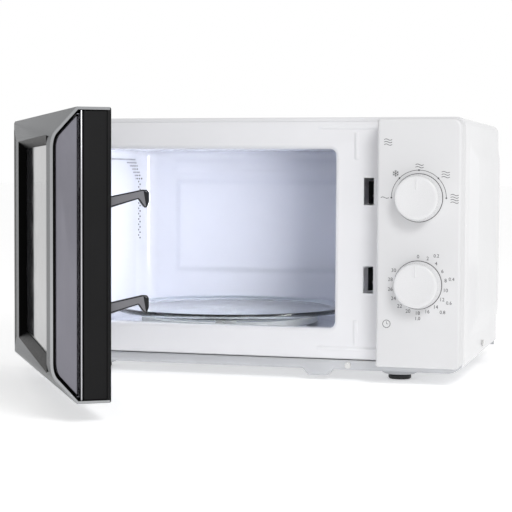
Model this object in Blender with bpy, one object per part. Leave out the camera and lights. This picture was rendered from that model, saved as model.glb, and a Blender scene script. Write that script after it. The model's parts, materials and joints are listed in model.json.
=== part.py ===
"""Countertop microwave oven: a steel body with a side-hinged door, two dials and a glass turntable.

Lengths are in millimetres, and become metres when a mesh is made. While it is drawn, X runs to the right
across the front, Y runs to the back from the front plate's face, and Z runs up from the surface that the
feet stand on. The door is drawn shut and then turned open about its hinge. At the end the whole oven is
moved so that the origin is the bottom centre of the box round it.
"""

import collections
import math

import bmesh
import bpy
from mathutils import Matrix, Vector

MM = 0.001

# ---- driving dimensions ----
BODY_WIDTH = 440.0
BODY_DEPTH = 258.0
BODY_TOP = 250.8
SHEET = 1.2  # casing, base, front plate and rear plate
CASING_LIP = 3.8  # return edge of the casing round the front plate
CASING_CORNER = 9.0
CASING_BOTTOM = 17.5
GAP = 0.3  # between two assembled pieces that touch on the real oven
FOOT_HEIGHT = 4.7
FOOT_RADIUS = 11.0
PAN_BOTTOM = 11.5
PAN_FLANGE = 8.6
PAN_SIDE_FLANGE = 22.0
FRAME_FLANGE = 12.0

PANEL_WIDTH = 78.1
PANEL_HEIGHT = 230.0
PANEL_BOTTOM = 18.0
PANEL_PROUD = 26.7
PANEL_WALL = 2.4
PANEL_CORNER = 9.0

OPENING_MARGIN_RIGHT = 45.0  # from the opening to the panel
OPENING_MARGIN_LEFT = 33.0
OPENING_BOTTOM = 49.8
OPENING_HEIGHT = 170.3
OPENING_CORNER = 6.0
CAVITY_STEP = 1.0  # the cavity is this much wider than the opening on each side
CAVITY_SHEET = 1.0
CAVITY_FLOOR = 38.3
CAVITY_CORNER = 22.0
CAVITY_BACK_ROOM = 2.8  # from the cavity's back wall to the rear plate

TRAY_RADIUS = 122.5
TRAY_HEIGHT = 7.0
TRAY_UNDERSIDE = 13.3  # above the cavity floor
GLASS = 4.2
ROLLER_TRACK = 99.5  # radius of the circle that the rollers run on
ROLLER_WIDTH = 6.0
ROLLER_AXLE = 2.0
ROLLERS = 3

KNOB_RADIUS = 21.2
KNOB_LENGTH = 15.5
KNOB_SHAFT = 3.0
POWER_KNOB_Z = 175.0
TIMER_KNOB_Z = 95.0

DOOR_SIDE_GAP = 1.8
DOOR_FRONT_GAP = 1.0
DOOR_DROP = 1.6  # the door reaches this far below the panel
DOOR_TOP_STEP = 0.9
DOOR_INNER = 27.0  # thickness up to where the bulge starts
DOOR_BULGE_HINGE = 1.5
DOOR_BULGE_FREE = 21.0
DOOR_WALL = 2.2
DOOR_OPEN = 58.1  # degrees, as the oven is shown
HINGE_IN = 12.4  # hinge axis from the door's left edge
SWING_CLEARANCE = 0.4  # between the turning corner of the door and the body
HINGE_PIN = 2.5
HINGE_TAB = 2.5
HINGE_INSET = 13.0  # tab from the door's top and bottom
PIN_CLEARANCE = 0.1

WINDOW_LEFT = 57.0  # recess at the door's front, from the hinge edge
WINDOW_RIGHT = 29.0
WINDOW_MARGIN = 21.1
WINDOW_DEPTH = 7.0
WINDOW_GLASS = 3.0
RECESS_WALL = 2.8
COVER_DEPTH = 21.7
COVER_WALL = 2.5
TRIM_STRIP = 2.2

SLOT_HEIGHT = 25.6
SLOT_WIDTH = 9.6
SLOT_FROM_PANEL = 7.9
SLOT_UPPER = 167.4
SLOT_LOWER = 84.0
HOOK_THICKNESS = 4.0
HOOK_REACH = 32.0  # from the door's inner face
PLUNGER_TRAVEL = 1.5

SCREW_HEAD = 3.4
SCREW_SHANK = 1.5
SIDE_SCREW_Y = 138.0
SIDE_SCREW_Z = 25.8
BASE_SCREW_IN = 109.5
FOOT_SIDE = 66.0  # foot from the body's side, and from its front or rear
FOOT_END = 36.0
SMALL_BOSS_IN = 143.0
FIELD_LOW = 48.0  # raised field on the casing's right side
FIELD_HIGH = 222.0
FIELD_FRONT = 24.0
FIELD_HEIGHT = 2.4
ROLLER_START = -79.0  # degrees from the right, so that one roller faces the front
BUMP_IN = 116.0
BUMP_DEPTH = 9.0
GLAND_IN = 32.0
GLAND_Z = 58.0
GLAND_RADIUS = 6.0
FAN_IN = 60.0  # fan axis from the body's right side
FAN_BACK = 42.0  # and its blades from the rear
FAN_Z = 168.0
BACK_ROW = 86.0  # the capacitor and the mains filter start this far from the rear
FAN_RADIUS = 41.0

# ---- worked out from them ----
LEFT = -BODY_WIDTH / 2
RIGHT = BODY_WIDTH / 2
PANEL_LEFT = RIGHT - PANEL_WIDTH
PANEL_TOP = PANEL_BOTTOM + PANEL_HEIGHT
PANEL_MIDDLE = (PANEL_LEFT + RIGHT) / 2
PAN_TOP = PAN_BOTTOM + PAN_FLANGE
FRAME_BOTTOM = PAN_TOP + GAP
FRAME_TOP = BODY_TOP - CASING_LIP - GAP
FRAME_SIDE = RIGHT - CASING_LIP - GAP
INSIDE = RIGHT - SHEET - 2 * GAP  # half width of what sits inside the casing
OPENING_RIGHT = PANEL_LEFT - OPENING_MARGIN_RIGHT
OPENING_LEFT = LEFT + OPENING_MARGIN_LEFT
OPENING_TOP = OPENING_BOTTOM + OPENING_HEIGHT
CAVITY_LEFT = OPENING_LEFT - CAVITY_STEP
CAVITY_RIGHT = OPENING_RIGHT + CAVITY_STEP
CAVITY_TOP = OPENING_TOP + 2 * CAVITY_STEP
CAVITY_FRONT = SHEET + GAP
REAR_FACE = BODY_DEPTH - SHEET
CAVITY_BACK = REAR_FACE - CAVITY_BACK_ROOM
WALL_OUT = CAVITY_RIGHT + CAVITY_SHEET + GAP  # where things on the cavity's right wall start
TRAY_X = (CAVITY_LEFT + CAVITY_RIGHT) / 2
TRAY_Y = (CAVITY_FRONT + CAVITY_BACK) / 2 + 1.4
TRAY_BOTTOM = CAVITY_FLOOR + TRAY_UNDERSIDE
ROLLER_RADIUS = TRAY_UNDERSIDE / 2 - GAP
ROLLER_Z = CAVITY_FLOOR + TRAY_UNDERSIDE / 2
PANEL_FACE = -PANEL_PROUD
DOOR_LEFT = LEFT
DOOR_WIDTH = PANEL_LEFT - DOOR_SIDE_GAP - DOOR_LEFT
DOOR_BOTTOM = PANEL_BOTTOM - DOOR_DROP
DOOR_TOP = PANEL_TOP - DOOR_TOP_STEP
HINGE_FORWARD = HINGE_IN + SWING_CLEARANCE - DOOR_FRONT_GAP  # hinge axis from the door's inner face
HINGE_X = DOOR_LEFT + HINGE_IN
HINGE_Y = -DOOR_FRONT_GAP - HINGE_FORWARD
SLOT_RIGHT = PANEL_LEFT - SLOT_FROM_PANEL
SLOT_LEFT = SLOT_RIGHT - SLOT_WIDTH
SLOT_MIDDLE = (SLOT_LEFT + SLOT_RIGHT) / 2
HOOK_X = SLOT_MIDDLE - 0.7  # the hook swings out a little as it enters its slot
BAY_RIGHT = INSIDE - 3.0
BAY_FLOOR = PAN_BOTTOM + SHEET + GAP
BASE_SCREW_Z = PAN_TOP - 4.9
BASE_SCREW_X = RIGHT - BASE_SCREW_IN
BUMP_LEFT = RIGHT - BUMP_IN
GLAND_X = RIGHT - GLAND_IN
FAN = (RIGHT - FAN_IN, BODY_DEPTH - FAN_BACK, FAN_Z)

Seat = collections.namedtuple("Seat", "empty place")


def clear_scene():
    for thing in list(bpy.data.objects):
        bpy.data.objects.remove(thing, do_unlink=True)


def make_material(name, colour, roughness, metallic=0.0):
    """A Principled material in one colour."""
    made = bpy.data.materials.new(name)
    made.use_nodes = True
    shader = made.node_tree.nodes["Principled BSDF"]
    shader.inputs["Base Color"].default_value = (*colour, 1.0)
    shader.inputs["Roughness"].default_value = roughness
    shader.inputs["Metallic"].default_value = metallic
    return made


# ---- meshes, in millimetres ----
def placed(along, across, up, t):
    """A point from two coordinates across an axis and one along it."""
    return {"X": (t, across, up), "Y": (across, t, up), "Z": (across, up, t)}[along]


def skin(rings, closed_ring=False, poles=(None, None)):
    """A mesh through rings of points; the ends are faces, poles or, for a closed ring, each other."""
    mesh = bmesh.new()
    rows = [[mesh.verts.new(point) for point in ring] for ring in rings]
    count = len(rows[0])
    pairs = list(zip(rows, rows[1:]))
    if closed_ring:
        pairs.append((rows[-1], rows[0]))
    for first, second in pairs:
        for k in range(count):
            after = (k + 1) % count
            mesh.faces.new((first[k], first[after], second[after], second[k]))
    for row, pole in zip((rows[0], rows[-1]), poles):
        if pole is not None:
            tip = mesh.verts.new(pole)
            for k in range(count):
                mesh.faces.new((row[k], row[(k + 1) % count], tip))
        elif not closed_ring:
            mesh.faces.new(row)
    bmesh.ops.recalc_face_normals(mesh, faces=mesh.faces)
    return mesh


def prism(outline, along, start, end):
    """An outline carried straight along an axis."""
    return skin([[placed(along, a, b, t) for a, b in outline] for t in (start, end)])


def box(low, high):
    outline = [(low[0], low[1]), (high[0], low[1]), (high[0], high[1]), (low[0], high[1])]
    return prism(outline, "Z", low[2], high[2])


def arc(centre, radius, start, end, steps):
    """Points on an arc, from one angle to another in degrees."""
    angles = [math.radians(start + (end - start) * k / steps) for k in range(steps + 1)]
    return [(centre[0] + radius * math.cos(a), centre[1] + radius * math.sin(a)) for a in angles]


def rounded(low, high, radii, steps=4):
    """A rectangle with its corners rounded, from the lower left corner anticlockwise."""
    if not isinstance(radii, (list, tuple)):
        radii = [radii] * 4
    corners = [
        (low[0], low[1], 1, 1, 180),
        (high[0], low[1], -1, 1, 270),
        (high[0], high[1], -1, -1, 0),
        (low[0], high[1], 1, -1, 90),
    ]
    points = []
    for (x, y, side, rise, start), radius in zip(corners, radii):
        if radius > 0:
            centre = (x + side * radius, y + rise * radius)
            points += arc(centre, radius, start, start + 90, steps)
        else:
            points.append((x, y))
    return points


def turned(profile, centre, along="Z", steps=32):
    """A solid turned from (radius, distance along the axis) points.

    A profile that starts and ends on the axis is closed by two poles; any other is a ring.
    """
    angles = [2 * math.pi * k / steps for k in range(steps)]
    middle = {"X": centre[1:], "Y": (centre[0], centre[2]), "Z": centre[:2]}[along]
    start = centre["XYZ".index(along)]

    def ring(radius, t):
        return [
            placed(along, middle[0] + radius * math.cos(a), middle[1] + radius * math.sin(a), start + t)
            for a in angles
        ]

    if profile[0][0] > 0:
        return skin([ring(*point) for point in profile], closed_ring=True)
    ends = [placed(along, *middle, start + profile[k][1]) for k in (0, -1)]
    return skin([ring(*point) for point in profile[1:-1]], poles=ends)


def rod(radius, centre, along, start, end, steps=24):
    """A plain round bar between two distances along an axis."""
    profile = [(0, start), (radius, start), (radius, end), (0, end)]
    base = [value if name != along else 0.0 for name, value in zip("XYZ", centre)]
    return turned(profile, base, along, steps)


def moved(mesh, matrix):
    bmesh.ops.transform(mesh, matrix=matrix, verts=mesh.verts)
    return mesh


def about_z(place, degrees):
    """Turns about a vertical axis through a place."""
    shift = Matrix.Translation(Vector(place))
    return shift @ Matrix.Rotation(math.radians(degrees), 4, "Z") @ shift.inverted()


# ---- objects ----
def seat(name, place, under=None):
    """An empty that pieces hang on, with the place where it is drawn."""
    empty = bpy.data.objects.new(name, None)
    bpy.context.scene.collection.objects.link(empty)
    origin = Vector(under.place) if under else Vector((0, 0, 0))
    empty.parent = under.empty if under else None
    empty.location = (Vector(place) - origin) * MM
    return Seat(empty, tuple(place))


def thing(name, mesh, under):
    """An object from a mesh drawn in millimetres, with its origin at its seat."""
    bmesh.ops.translate(mesh, vec=-Vector(under.place), verts=mesh.verts)
    bmesh.ops.scale(mesh, vec=(MM, MM, MM), verts=mesh.verts)
    data = bpy.data.meshes.new(name)
    mesh.to_mesh(data)
    mesh.free()
    made = bpy.data.objects.new(name, data)
    bpy.context.scene.collection.objects.link(made)
    made.parent = under.empty
    return made


def solid(name, mesh, finish, under, joins=(), cuts=(), walls=(), openings=()):
    """One piece of the oven: a mesh with others joined to it, then others cut from it.

    Walls are joined after those cuts, and openings are cut last.
    """
    made = thing(name, mesh, under)
    made.data.materials.append(finish)
    made.data.shade_smooth()
    made.data.set_sharp_from_angle(angle=math.radians(30))
    steps = (("UNION", joins), ("DIFFERENCE", cuts), ("UNION", walls), ("DIFFERENCE", openings))
    for stage, (operation, tools) in enumerate(steps):
        for count, tool in enumerate(tools):
            helper = thing(f"{name}_{stage}_{count}", tool, under)
            helper.hide_render = True
            helper.display_type = "WIRE"
            step = made.modifiers.new(helper.name, "BOOLEAN")
            step.operation = operation
            step.solver = "EXACT"
            step.object = helper
    return made


# ---- body sheet metal ----
def casing_outline(side, top, corner):
    """The wrap's arch: up the left side, over the top and down the right side."""
    left = arc((-side + corner, top - corner), corner, 180, 90, 6)
    right = arc((side - corner, top - corner), corner, 90, 0, 6)
    return [(-side, CASING_BOTTOM)] + left + right + [(side, CASING_BOTTOM)]


def raised_field(side):
    """A long raised field pressed into one side of the casing: a low frustum with a wide bevel in front."""
    back = BODY_DEPTH - 8.0
    base = RIGHT - SHEET / 2
    rings = []
    for out, front_shrink, shrink in ((0.0, 0.0, 0.0), (FIELD_HEIGHT + SHEET / 2, 55.0, 6.0)):
        low = (FIELD_FRONT + front_shrink, FIELD_LOW + shrink)
        high = (back - shrink, FIELD_HIGH - shrink)
        rings.append([(side * (base + out), y, z) for y, z in rounded(low, high, 8.0)])
    return skin(rings)


def side_screw_holes(face, radius):
    """Holes for the two side screws through walls at a distance to the left and right."""
    centre = (0, SIDE_SCREW_Y, SIDE_SCREW_Z)
    return [rod(radius, centre, "X", way * (face - 5), way * (face + 5), 12) for way in (-1, 1)]


def make_casing(finish, oven):
    inner = casing_outline(RIGHT - SHEET, BODY_TOP - SHEET, CASING_CORNER - SHEET)
    inner[0] = (inner[0][0], CASING_BOTTOM - 5)
    inner[-1] = (inner[-1][0], CASING_BOTTOM - 5)
    front_side = RIGHT - CASING_LIP
    front = rounded((-front_side, PAN_BOTTOM), (front_side, BODY_TOP - CASING_LIP), [0, 0, 6, 6])
    clear_of_pan = box((-RIGHT + SHEET, -5, PAN_BOTTOM), (RIGHT - SHEET, SHEET + 5, FRAME_BOTTOM + 1))
    vents = [box((LEFT - 5, 150.0 + 12 * k, 150.0), (LEFT + 5, 156.0 + 12 * k, 200.0)) for k in range(6)]
    solid(
        "outer_casing",
        prism(casing_outline(RIGHT, BODY_TOP, CASING_CORNER), "Y", 0, BODY_DEPTH),
        finish,
        oven,
        joins=[raised_field(1)],
        cuts=[
            prism(inner, "Y", SHEET, BODY_DEPTH + 5),
            prism(front, "Y", -5, SHEET + 5),
            clear_of_pan,
            *side_screw_holes(RIGHT, SCREW_SHANK + 1.1),
            *vents,
        ],
    )


def make_front_frame(finish, oven):
    plate = rounded((-FRAME_SIDE, FRAME_BOTTOM), (FRAME_SIDE, FRAME_TOP), [0, 0, 5, 5])
    hollow = rounded(
        (-FRAME_SIDE + SHEET, FRAME_BOTTOM + SHEET), (FRAME_SIDE - SHEET, FRAME_TOP - SHEET), [0, 0, 4, 4]
    )
    opening = rounded((OPENING_LEFT, OPENING_BOTTOM), (OPENING_RIGHT, OPENING_TOP), OPENING_CORNER)
    through = SHEET + 5
    slots = [
        box((SLOT_LEFT, -5, low), (SLOT_RIGHT, through, low + SLOT_HEIGHT))
        for low in (SLOT_LOWER, SLOT_UPPER)
    ]
    controls = box((PANEL_LEFT + 7, -5, PANEL_BOTTOM + 22), (FRAME_SIDE - 6, through, PANEL_TOP - 22))
    tabs = [
        box((HINGE_X - 7.5, -5, low - 0.8), (HINGE_X + 7.5, through, low + HINGE_TAB + 0.8))
        for low in hinge_levels()
    ]
    solid(
        "front_frame",
        prism(plate, "Y", 0, FRAME_FLANGE),
        finish,
        oven,
        cuts=[
            prism(hollow, "Y", SHEET, FRAME_FLANGE + 5),
            prism(opening, "Y", -5, SHEET + 5),
            controls,
            *slots,
            *tabs,
        ],
    )


def make_cavity(finish, oven):
    def shell(grow, front, back):
        low = (CAVITY_LEFT - grow, front)
        high = (CAVITY_RIGHT + grow, back)
        corner = CAVITY_CORNER + grow
        outline = rounded(low, high, [0, 0, corner, corner])
        return prism(outline, "Z", CAVITY_FLOOR - grow, CAVITY_TOP + grow)

    waveguide_port = box((CAVITY_RIGHT - 5, 104, 142), (WALL_OUT + 5, 152, 198))
    shaft_hole = rod(10.0, (TRAY_X, TRAY_Y, 0), "Z", CAVITY_FLOOR - 5, CAVITY_FLOOR + 5)
    solid(
        "cavity_liner",
        shell(CAVITY_SHEET, CAVITY_FRONT, CAVITY_BACK + CAVITY_SHEET),
        finish,
        oven,
        cuts=[shell(0.0, CAVITY_FRONT - 5, CAVITY_BACK), waveguide_port, shaft_hole],
    )


def foot_places():
    return {
        "foot_front_left": (LEFT + FOOT_SIDE, FOOT_END),
        "foot_front_right": (RIGHT - FOOT_SIDE, FOOT_END),
        "foot_rear_left": (LEFT + FOOT_SIDE, BODY_DEPTH - FOOT_END),
        "foot_rear_right": (RIGHT - FOOT_SIDE, BODY_DEPTH - FOOT_END),
    }


def make_base(finish, rubber, oven):
    """The pan that everything stands in, with a pressed boss over each foot."""
    top_radius, bottom_radius, boss_bottom = 23.5, 14.5, FOOT_HEIGHT + GAP
    places = list(foot_places().values()) + [(RIGHT - SMALL_BOSS_IN, 26.0)]
    scales = [1.0] * 4 + [0.62]

    def boss(x, y, scale, inset):
        low = PAN_BOTTOM - (PAN_BOTTOM - boss_bottom) * scale + inset
        top = PAN_BOTTOM + SHEET / 2 + inset
        reach = (top_radius * scale - inset, bottom_radius * scale - inset)
        return turned([(0, low), (reach[1], low), (reach[0], top), (0, top)], (x, y, 0))

    places_scales = list(zip(places, scales))
    inner = box((-INSIDE + SHEET, SHEET, PAN_BOTTOM + SHEET), (INSIDE - SHEET, REAR_FACE - GAP - SHEET, 60))
    low_front = box((-INSIDE - 5, -5, PAN_TOP), (INSIDE + 5, FRAME_FLANGE + 2, 60))
    low_back = box((-INSIDE - 5, REAR_FACE - 14, PAN_TOP), (INSIDE + 5, REAR_FACE + 5, 60))
    vent_front, vent_back = BODY_DEPTH - BACK_ROW - 2, BODY_DEPTH - BACK_ROW + 58
    vent_low, vent_high = PAN_BOTTOM - 5, PAN_BOTTOM + 5
    vents = [
        box((RIGHT - 95 + 11 * k, vent_front, vent_low), (RIGHT - 90 + 11 * k, vent_back, vent_high))
        for k in range(3)
    ]
    hole = SCREW_SHANK + 0.4
    solid(
        "base_plate",
        box((-INSIDE, 0, PAN_BOTTOM), (INSIDE, REAR_FACE - GAP, PAN_BOTTOM + PAN_SIDE_FLANGE)),
        finish,
        oven,
        joins=[boss(*place, scale, 0.0) for place, scale in places_scales],
        cuts=[
            inner,
            low_front,
            low_back,
            *[boss(*place, scale, SHEET) for place, scale in places_scales],
            *vents,
            *side_screw_holes(INSIDE, hole),
            rod(hole, (BASE_SCREW_X, 0, BASE_SCREW_Z), "Y", -5, 5, 12),
        ],
    )
    for name, (x, y) in foot_places().items():
        edge = 1.2
        profile = [
            (0, 0),
            (FOOT_RADIUS - edge, 0),
            (FOOT_RADIUS, edge),
            (FOOT_RADIUS, FOOT_HEIGHT - edge),
            (FOOT_RADIUS - edge, FOOT_HEIGHT),
            (0, FOOT_HEIGHT),
        ]
        solid(name, turned(profile, (x, y, 0)), rubber, oven)


def make_rear(finish, plastic, oven):
    """Rear plate with a pressed-out field behind the works, its vents, a spacer and the cord gland."""
    top = BODY_TOP - SHEET - 2 * GAP

    def field(inset, start, end):
        low = (BUMP_LEFT + inset, 34 + inset)
        high = (INSIDE - 10 - inset, top - 16 - inset)
        return prism(rounded(low, high, 7.0 - inset), "Y", start, end)

    reach = BODY_DEPTH + BUMP_DEPTH
    vents = [
        box((RIGHT - 100 + 10 * k, REAR_FACE - 5, 120), (RIGHT - 95.5 + 10 * k, reach + 5, 175))
        for k in range(8)
    ]
    steam_vents = [
        box((LEFT + 70 + 9 * k, REAR_FACE - 5, 206), (LEFT + 74.5 + 9 * k, BODY_DEPTH + 5, 222))
        for k in range(8)
    ]
    gland = (GLAND_X, 0, GLAND_Z)
    gland_hole = rod(GLAND_RADIUS + GAP, gland, "Y", REAR_FACE - 5, reach + 5)
    outline = rounded((-INSIDE, PAN_BOTTOM + GAP), (INSIDE, top), [0, 0, 7, 7])
    solid(
        "rear_plate",
        prism(outline, "Y", REAR_FACE, BODY_DEPTH),
        finish,
        oven,
        joins=[field(0.0, REAR_FACE + GAP, reach)],
        cuts=[field(SHEET, REAR_FACE - 5, reach - SHEET), gland_hole, *vents, *steam_vents],
    )
    start = BODY_DEPTH + GAP
    spacer = [(-60.0, 0.0), (60.0, 0.0), (52.0, 22.0), (-52.0, 22.0)]
    solid(
        "rear_spacer",
        prism([(-20 + x, start + y) for x, y in spacer], "Z", 226, 238),
        plastic,
        oven,
        cuts=[box((-62, start + 3, 229), (22, start + 18, 240))],
    )
    neck = GLAND_RADIUS
    profile = [
        (0, reach - 14),
        (neck, reach - 14),
        (neck, reach + GAP),
        (neck + 4, reach + GAP),
        (neck + 4, reach + 3.5),
        (neck - 0.5, reach + 4.5),
        (neck - 1.5, reach + 13),
        (0, reach + 13),
    ]
    solid(
        "cord_gland",
        turned(profile, gland, "Y", 20),
        plastic,
        oven,
        cuts=[rod(3.2, gland, "Y", reach - 20, reach + 20, 12)],
    )


def make_screws(finish, oven):
    """Pan-head screws: one in the base's front flange and one in each side of the casing."""
    height, length = 1.6, 7.0
    profile = [
        (0, 0),
        (SCREW_HEAD - 0.6, 0),
        (SCREW_HEAD, 0.7),
        (SCREW_HEAD, height),
        (SCREW_SHANK, height),
        (SCREW_SHANK, height + length),
        (0, height + length),
    ]

    def screw(name, centre, along, way, start):
        shape = [(radius, start + way * t) for radius, t in profile]
        solid(name, turned(shape, centre, along, 16), finish, oven)

    side = (0, SIDE_SCREW_Y, SIDE_SCREW_Z)
    screw("base_screw", (BASE_SCREW_X, 0, BASE_SCREW_Z), "Y", 1, -height - GAP)
    screw("side_screw_right", side, "X", -1, RIGHT + height + GAP)
    screw("side_screw_left", side, "X", 1, LEFT - height - GAP)


# ---- control panel ----
def make_panel(finish, oven):
    outline = rounded((PANEL_LEFT, PANEL_BOTTOM), (RIGHT, PANEL_TOP), [1.5, 4.0, PANEL_CORNER, 1.5])
    inner = rounded(
        (PANEL_LEFT + PANEL_WALL, PANEL_BOTTOM + PANEL_WALL),
        (RIGHT - PANEL_WALL, PANEL_TOP - PANEL_WALL),
        [1.0, 2.0, PANEL_CORNER - PANEL_WALL, 1.0],
    )
    holes = [
        rod(KNOB_SHAFT + 1.2, (PANEL_MIDDLE, 0, z), "Y", PANEL_FACE - 5, PANEL_FACE + 8)
        for z in (POWER_KNOB_Z, TIMER_KNOB_Z)
    ]
    solid(
        "control_panel",
        prism(outline, "Y", PANEL_FACE, -GAP),
        finish,
        oven,
        cuts=[prism(inner, "Y", PANEL_FACE + PANEL_WALL, 5), *holes],
    )


def make_knob(name, unit_name, z, unit_half, unit_depth, plastic, works, metal, oven):
    """A dial, its shaft and the unit behind the panel that the shaft turns in."""
    dial = seat(f"{name}_axis", (PANEL_MIDDLE, PANEL_FACE, z), oven)
    back = PANEL_FACE - 2 * GAP
    front = back - KNOB_LENGTH
    edge = 1.5
    profile = [
        (0, front),
        (KNOB_RADIUS - 1.6 - edge, front),
        (KNOB_RADIUS - 1.6, front + edge),
        (KNOB_RADIUS, back),
        (0, back),
    ]
    centre = (PANEL_MIDDLE, 0, z)
    bore = KNOB_SHAFT + 2 * PIN_CLEARANCE
    solid(
        name,
        turned(profile, centre, "Y", 48),
        plastic,
        dial,
        cuts=[rod(bore, centre, "Y", front + 4, back + 5)],
    )
    unit_front = PANEL_FACE + PANEL_WALL + 4 * GAP
    shaft_end = unit_front + 9
    solid(
        name.replace("knob", "shaft"),
        rod(KNOB_SHAFT, centre, "Y", front + 4 + GAP, shaft_end),
        metal,
        dial,
    )
    half_x, half_z = unit_half
    low = (PANEL_MIDDLE - half_x, unit_front, z - half_z)
    high = (PANEL_MIDDLE + half_x, unit_front + unit_depth, z + half_z)
    unit_bore = rod(bore, centre, "Y", unit_front - 5, shaft_end + GAP)
    solid(unit_name, box(low, high), works, oven, cuts=[unit_bore])


# ---- microwave works, in the bay behind the panel ----
def make_microwave_source(steel, aluminium, mica, oven):
    port_y, port_z = 128.0, 170.0
    duct_low = (WALL_OUT, port_y - 32, port_z - 42)
    duct_high = (WALL_OUT + 34, port_y + 32, port_z + 42)
    antenna = (0, port_y, port_z + 12)
    inset = 1.2
    solid(
        "waveguide",
        box(duct_low, duct_high),
        aluminium,
        oven,
        cuts=[
            box(
                (duct_low[0] - 5, duct_low[1] + inset, duct_low[2] + inset),
                (duct_high[0] - inset, duct_high[1] - inset, duct_high[2] - inset),
            ),
            rod(10.5, antenna, "X", duct_high[0] - 5, duct_high[0] + 5),
        ],
    )
    start = duct_high[0] + GAP
    body = box((start + 9, port_y - 34, port_z - 26), (start + 62, port_y + 34, port_z + 50))
    fins = [
        box((start + 14 + 8 * k, port_y - 40, port_z - 20), (start + 18.5 + 8 * k, port_y + 40, port_z + 44))
        for k in range(6)
    ]
    solid(
        "magnetron",
        body,
        steel,
        oven,
        joins=[
            box((start, port_y - 28, port_z - 16), (start + 10, port_y + 28, port_z + 40)),
            rod(8.0, antenna, "X", start - 26, start + 5),
        ],
        cuts=fins,
    )
    solid(
        "waveguide_cover",
        box((CAVITY_RIGHT - GAP - 0.8, 99, 137), (CAVITY_RIGHT - GAP, 157, 203)),
        mica,
        oven,
    )


def make_power_supply(iron, copper, can, plastic, oven):
    """Transformer, capacitor with its clamp, and the mains filter."""
    left, right = WALL_OUT + 14, WALL_OUT + 104
    front, back = 70.0, 118.0
    low, high = BAY_FLOOR, BAY_FLOOR + 72
    leg = 14.0
    middle = (left + right) / 2
    solid(
        "transformer_core",
        box((left, front, low), (right, back, high)),
        iron,
        oven,
        cuts=[
            box((left + leg, front - 5, low + leg), (middle - leg, back + 5, high - leg)),
            box((middle + leg, front - 5, low + leg), (right - leg, back + 5, high - leg)),
        ],
    )
    winding = rounded((left + leg + 1, front - 13), (right - leg - 1, back + 13), 9.0)
    core_gap = box((middle - leg - GAP, front - GAP, low), (middle + leg + GAP, back + GAP, high))
    solid(
        "transformer_winding",
        prism(winding, "Z", low + leg + 1, high - leg - 1),
        copper,
        oven,
        cuts=[core_gap],
    )
    row = BODY_DEPTH - BACK_ROW
    can_low, can_high = (WALL_OUT + 14, row + 4), (WALL_OUT + 46, row + 56)

    def can_outline(grow):
        low_corner = (can_low[0] - grow, can_low[1] - grow)
        high_corner = (can_high[0] + grow, can_high[1] + grow)
        return rounded(low_corner, high_corner, 15.0 + grow)

    solid("hv_capacitor", prism(can_outline(0.0), "Z", BAY_FLOOR, BAY_FLOOR + 86), can, oven)
    strap = 1.0
    foot_low = (can_high[0] + GAP, can_high[1] - 34, BAY_FLOOR)
    foot_high = (can_high[0] + GAP + strap, can_high[1] - 18, BAY_FLOOR + 40)
    solid(
        "capacitor_clamp",
        prism(can_outline(GAP + strap), "Z", BAY_FLOOR + 34, BAY_FLOOR + 46),
        iron,
        oven,
        joins=[box(foot_low, foot_high)],
        cuts=[prism(can_outline(GAP), "Z", BAY_FLOOR + 30, BAY_FLOOR + 50)],
    )
    board = box((WALL_OUT + 62, row, BAY_FLOOR), (BAY_RIGHT, row + 52, BAY_FLOOR + 3))
    solid(
        "line_filter",
        board,
        plastic,
        oven,
        joins=[
            box((WALL_OUT + 66, row + 6, BAY_FLOOR + 2), (WALL_OUT + 86, row + 28, BAY_FLOOR + 26)),
            box((WALL_OUT + 90, row + 6, BAY_FLOOR + 2), (BAY_RIGHT - 3, row + 44, BAY_FLOOR + 18)),
        ],
    )


def make_fan(plastic, steel, oven):
    x, y, z = FAN
    collar = FAN_RADIUS + 2.5
    hole = rod(collar, (x, 0, z), "Y", y - 20, y + 30, 32)
    ring = rod(collar + 1.8, (x, 0, z), "Y", y - 8, y + 9, 32)
    solid(
        "fan_duct",
        box((WALL_OUT + 6, y + 8, z - 48), (BAY_RIGHT, y + 10.5, z + 48)),
        plastic,
        oven,
        joins=[ring],
        cuts=[hole],
    )
    motor_front = y + 14
    solid(
        "fan_motor",
        box((x - 24, motor_front, z - 20), (x + 24, motor_front + 14, z + 24)),
        steel,
        oven,
        joins=[
            box((x - 17, motor_front - 5, z - 17), (x + 17, motor_front + 17, z + 6)),
            box((x - 47, motor_front + 4, z - 4), (x + 47, motor_front + 7, z + 4)),
        ],
        cuts=[rod(1.8, (x, 0, z), "Y", motor_front - 20, motor_front + 6, 12)],
    )
    spin = seat("fan_axis", (x, y, z), oven)
    blades = []
    count = 5
    for k in range(count):
        turn = math.radians(360 * k / count)
        blade = box((6, -5.5, -1.1), (FAN_RADIUS, 5.5, 1.1))
        moved(blade, Matrix.Rotation(math.radians(35), 4, "X"))
        moved(blade, Matrix.Translation(Vector((x, y, z))) @ Matrix.Rotation(turn, 4, "Y"))
        blades.append(blade)
    shaft = rod(1.5, (x, 0, z), "Y", y + 2, motor_front + 5, 12)
    solid("fan_blade", rod(9.0, (x, 0, z), "Y", y - 6.5, y + 6.5), plastic, spin, joins=blades + [shaft])


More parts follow.
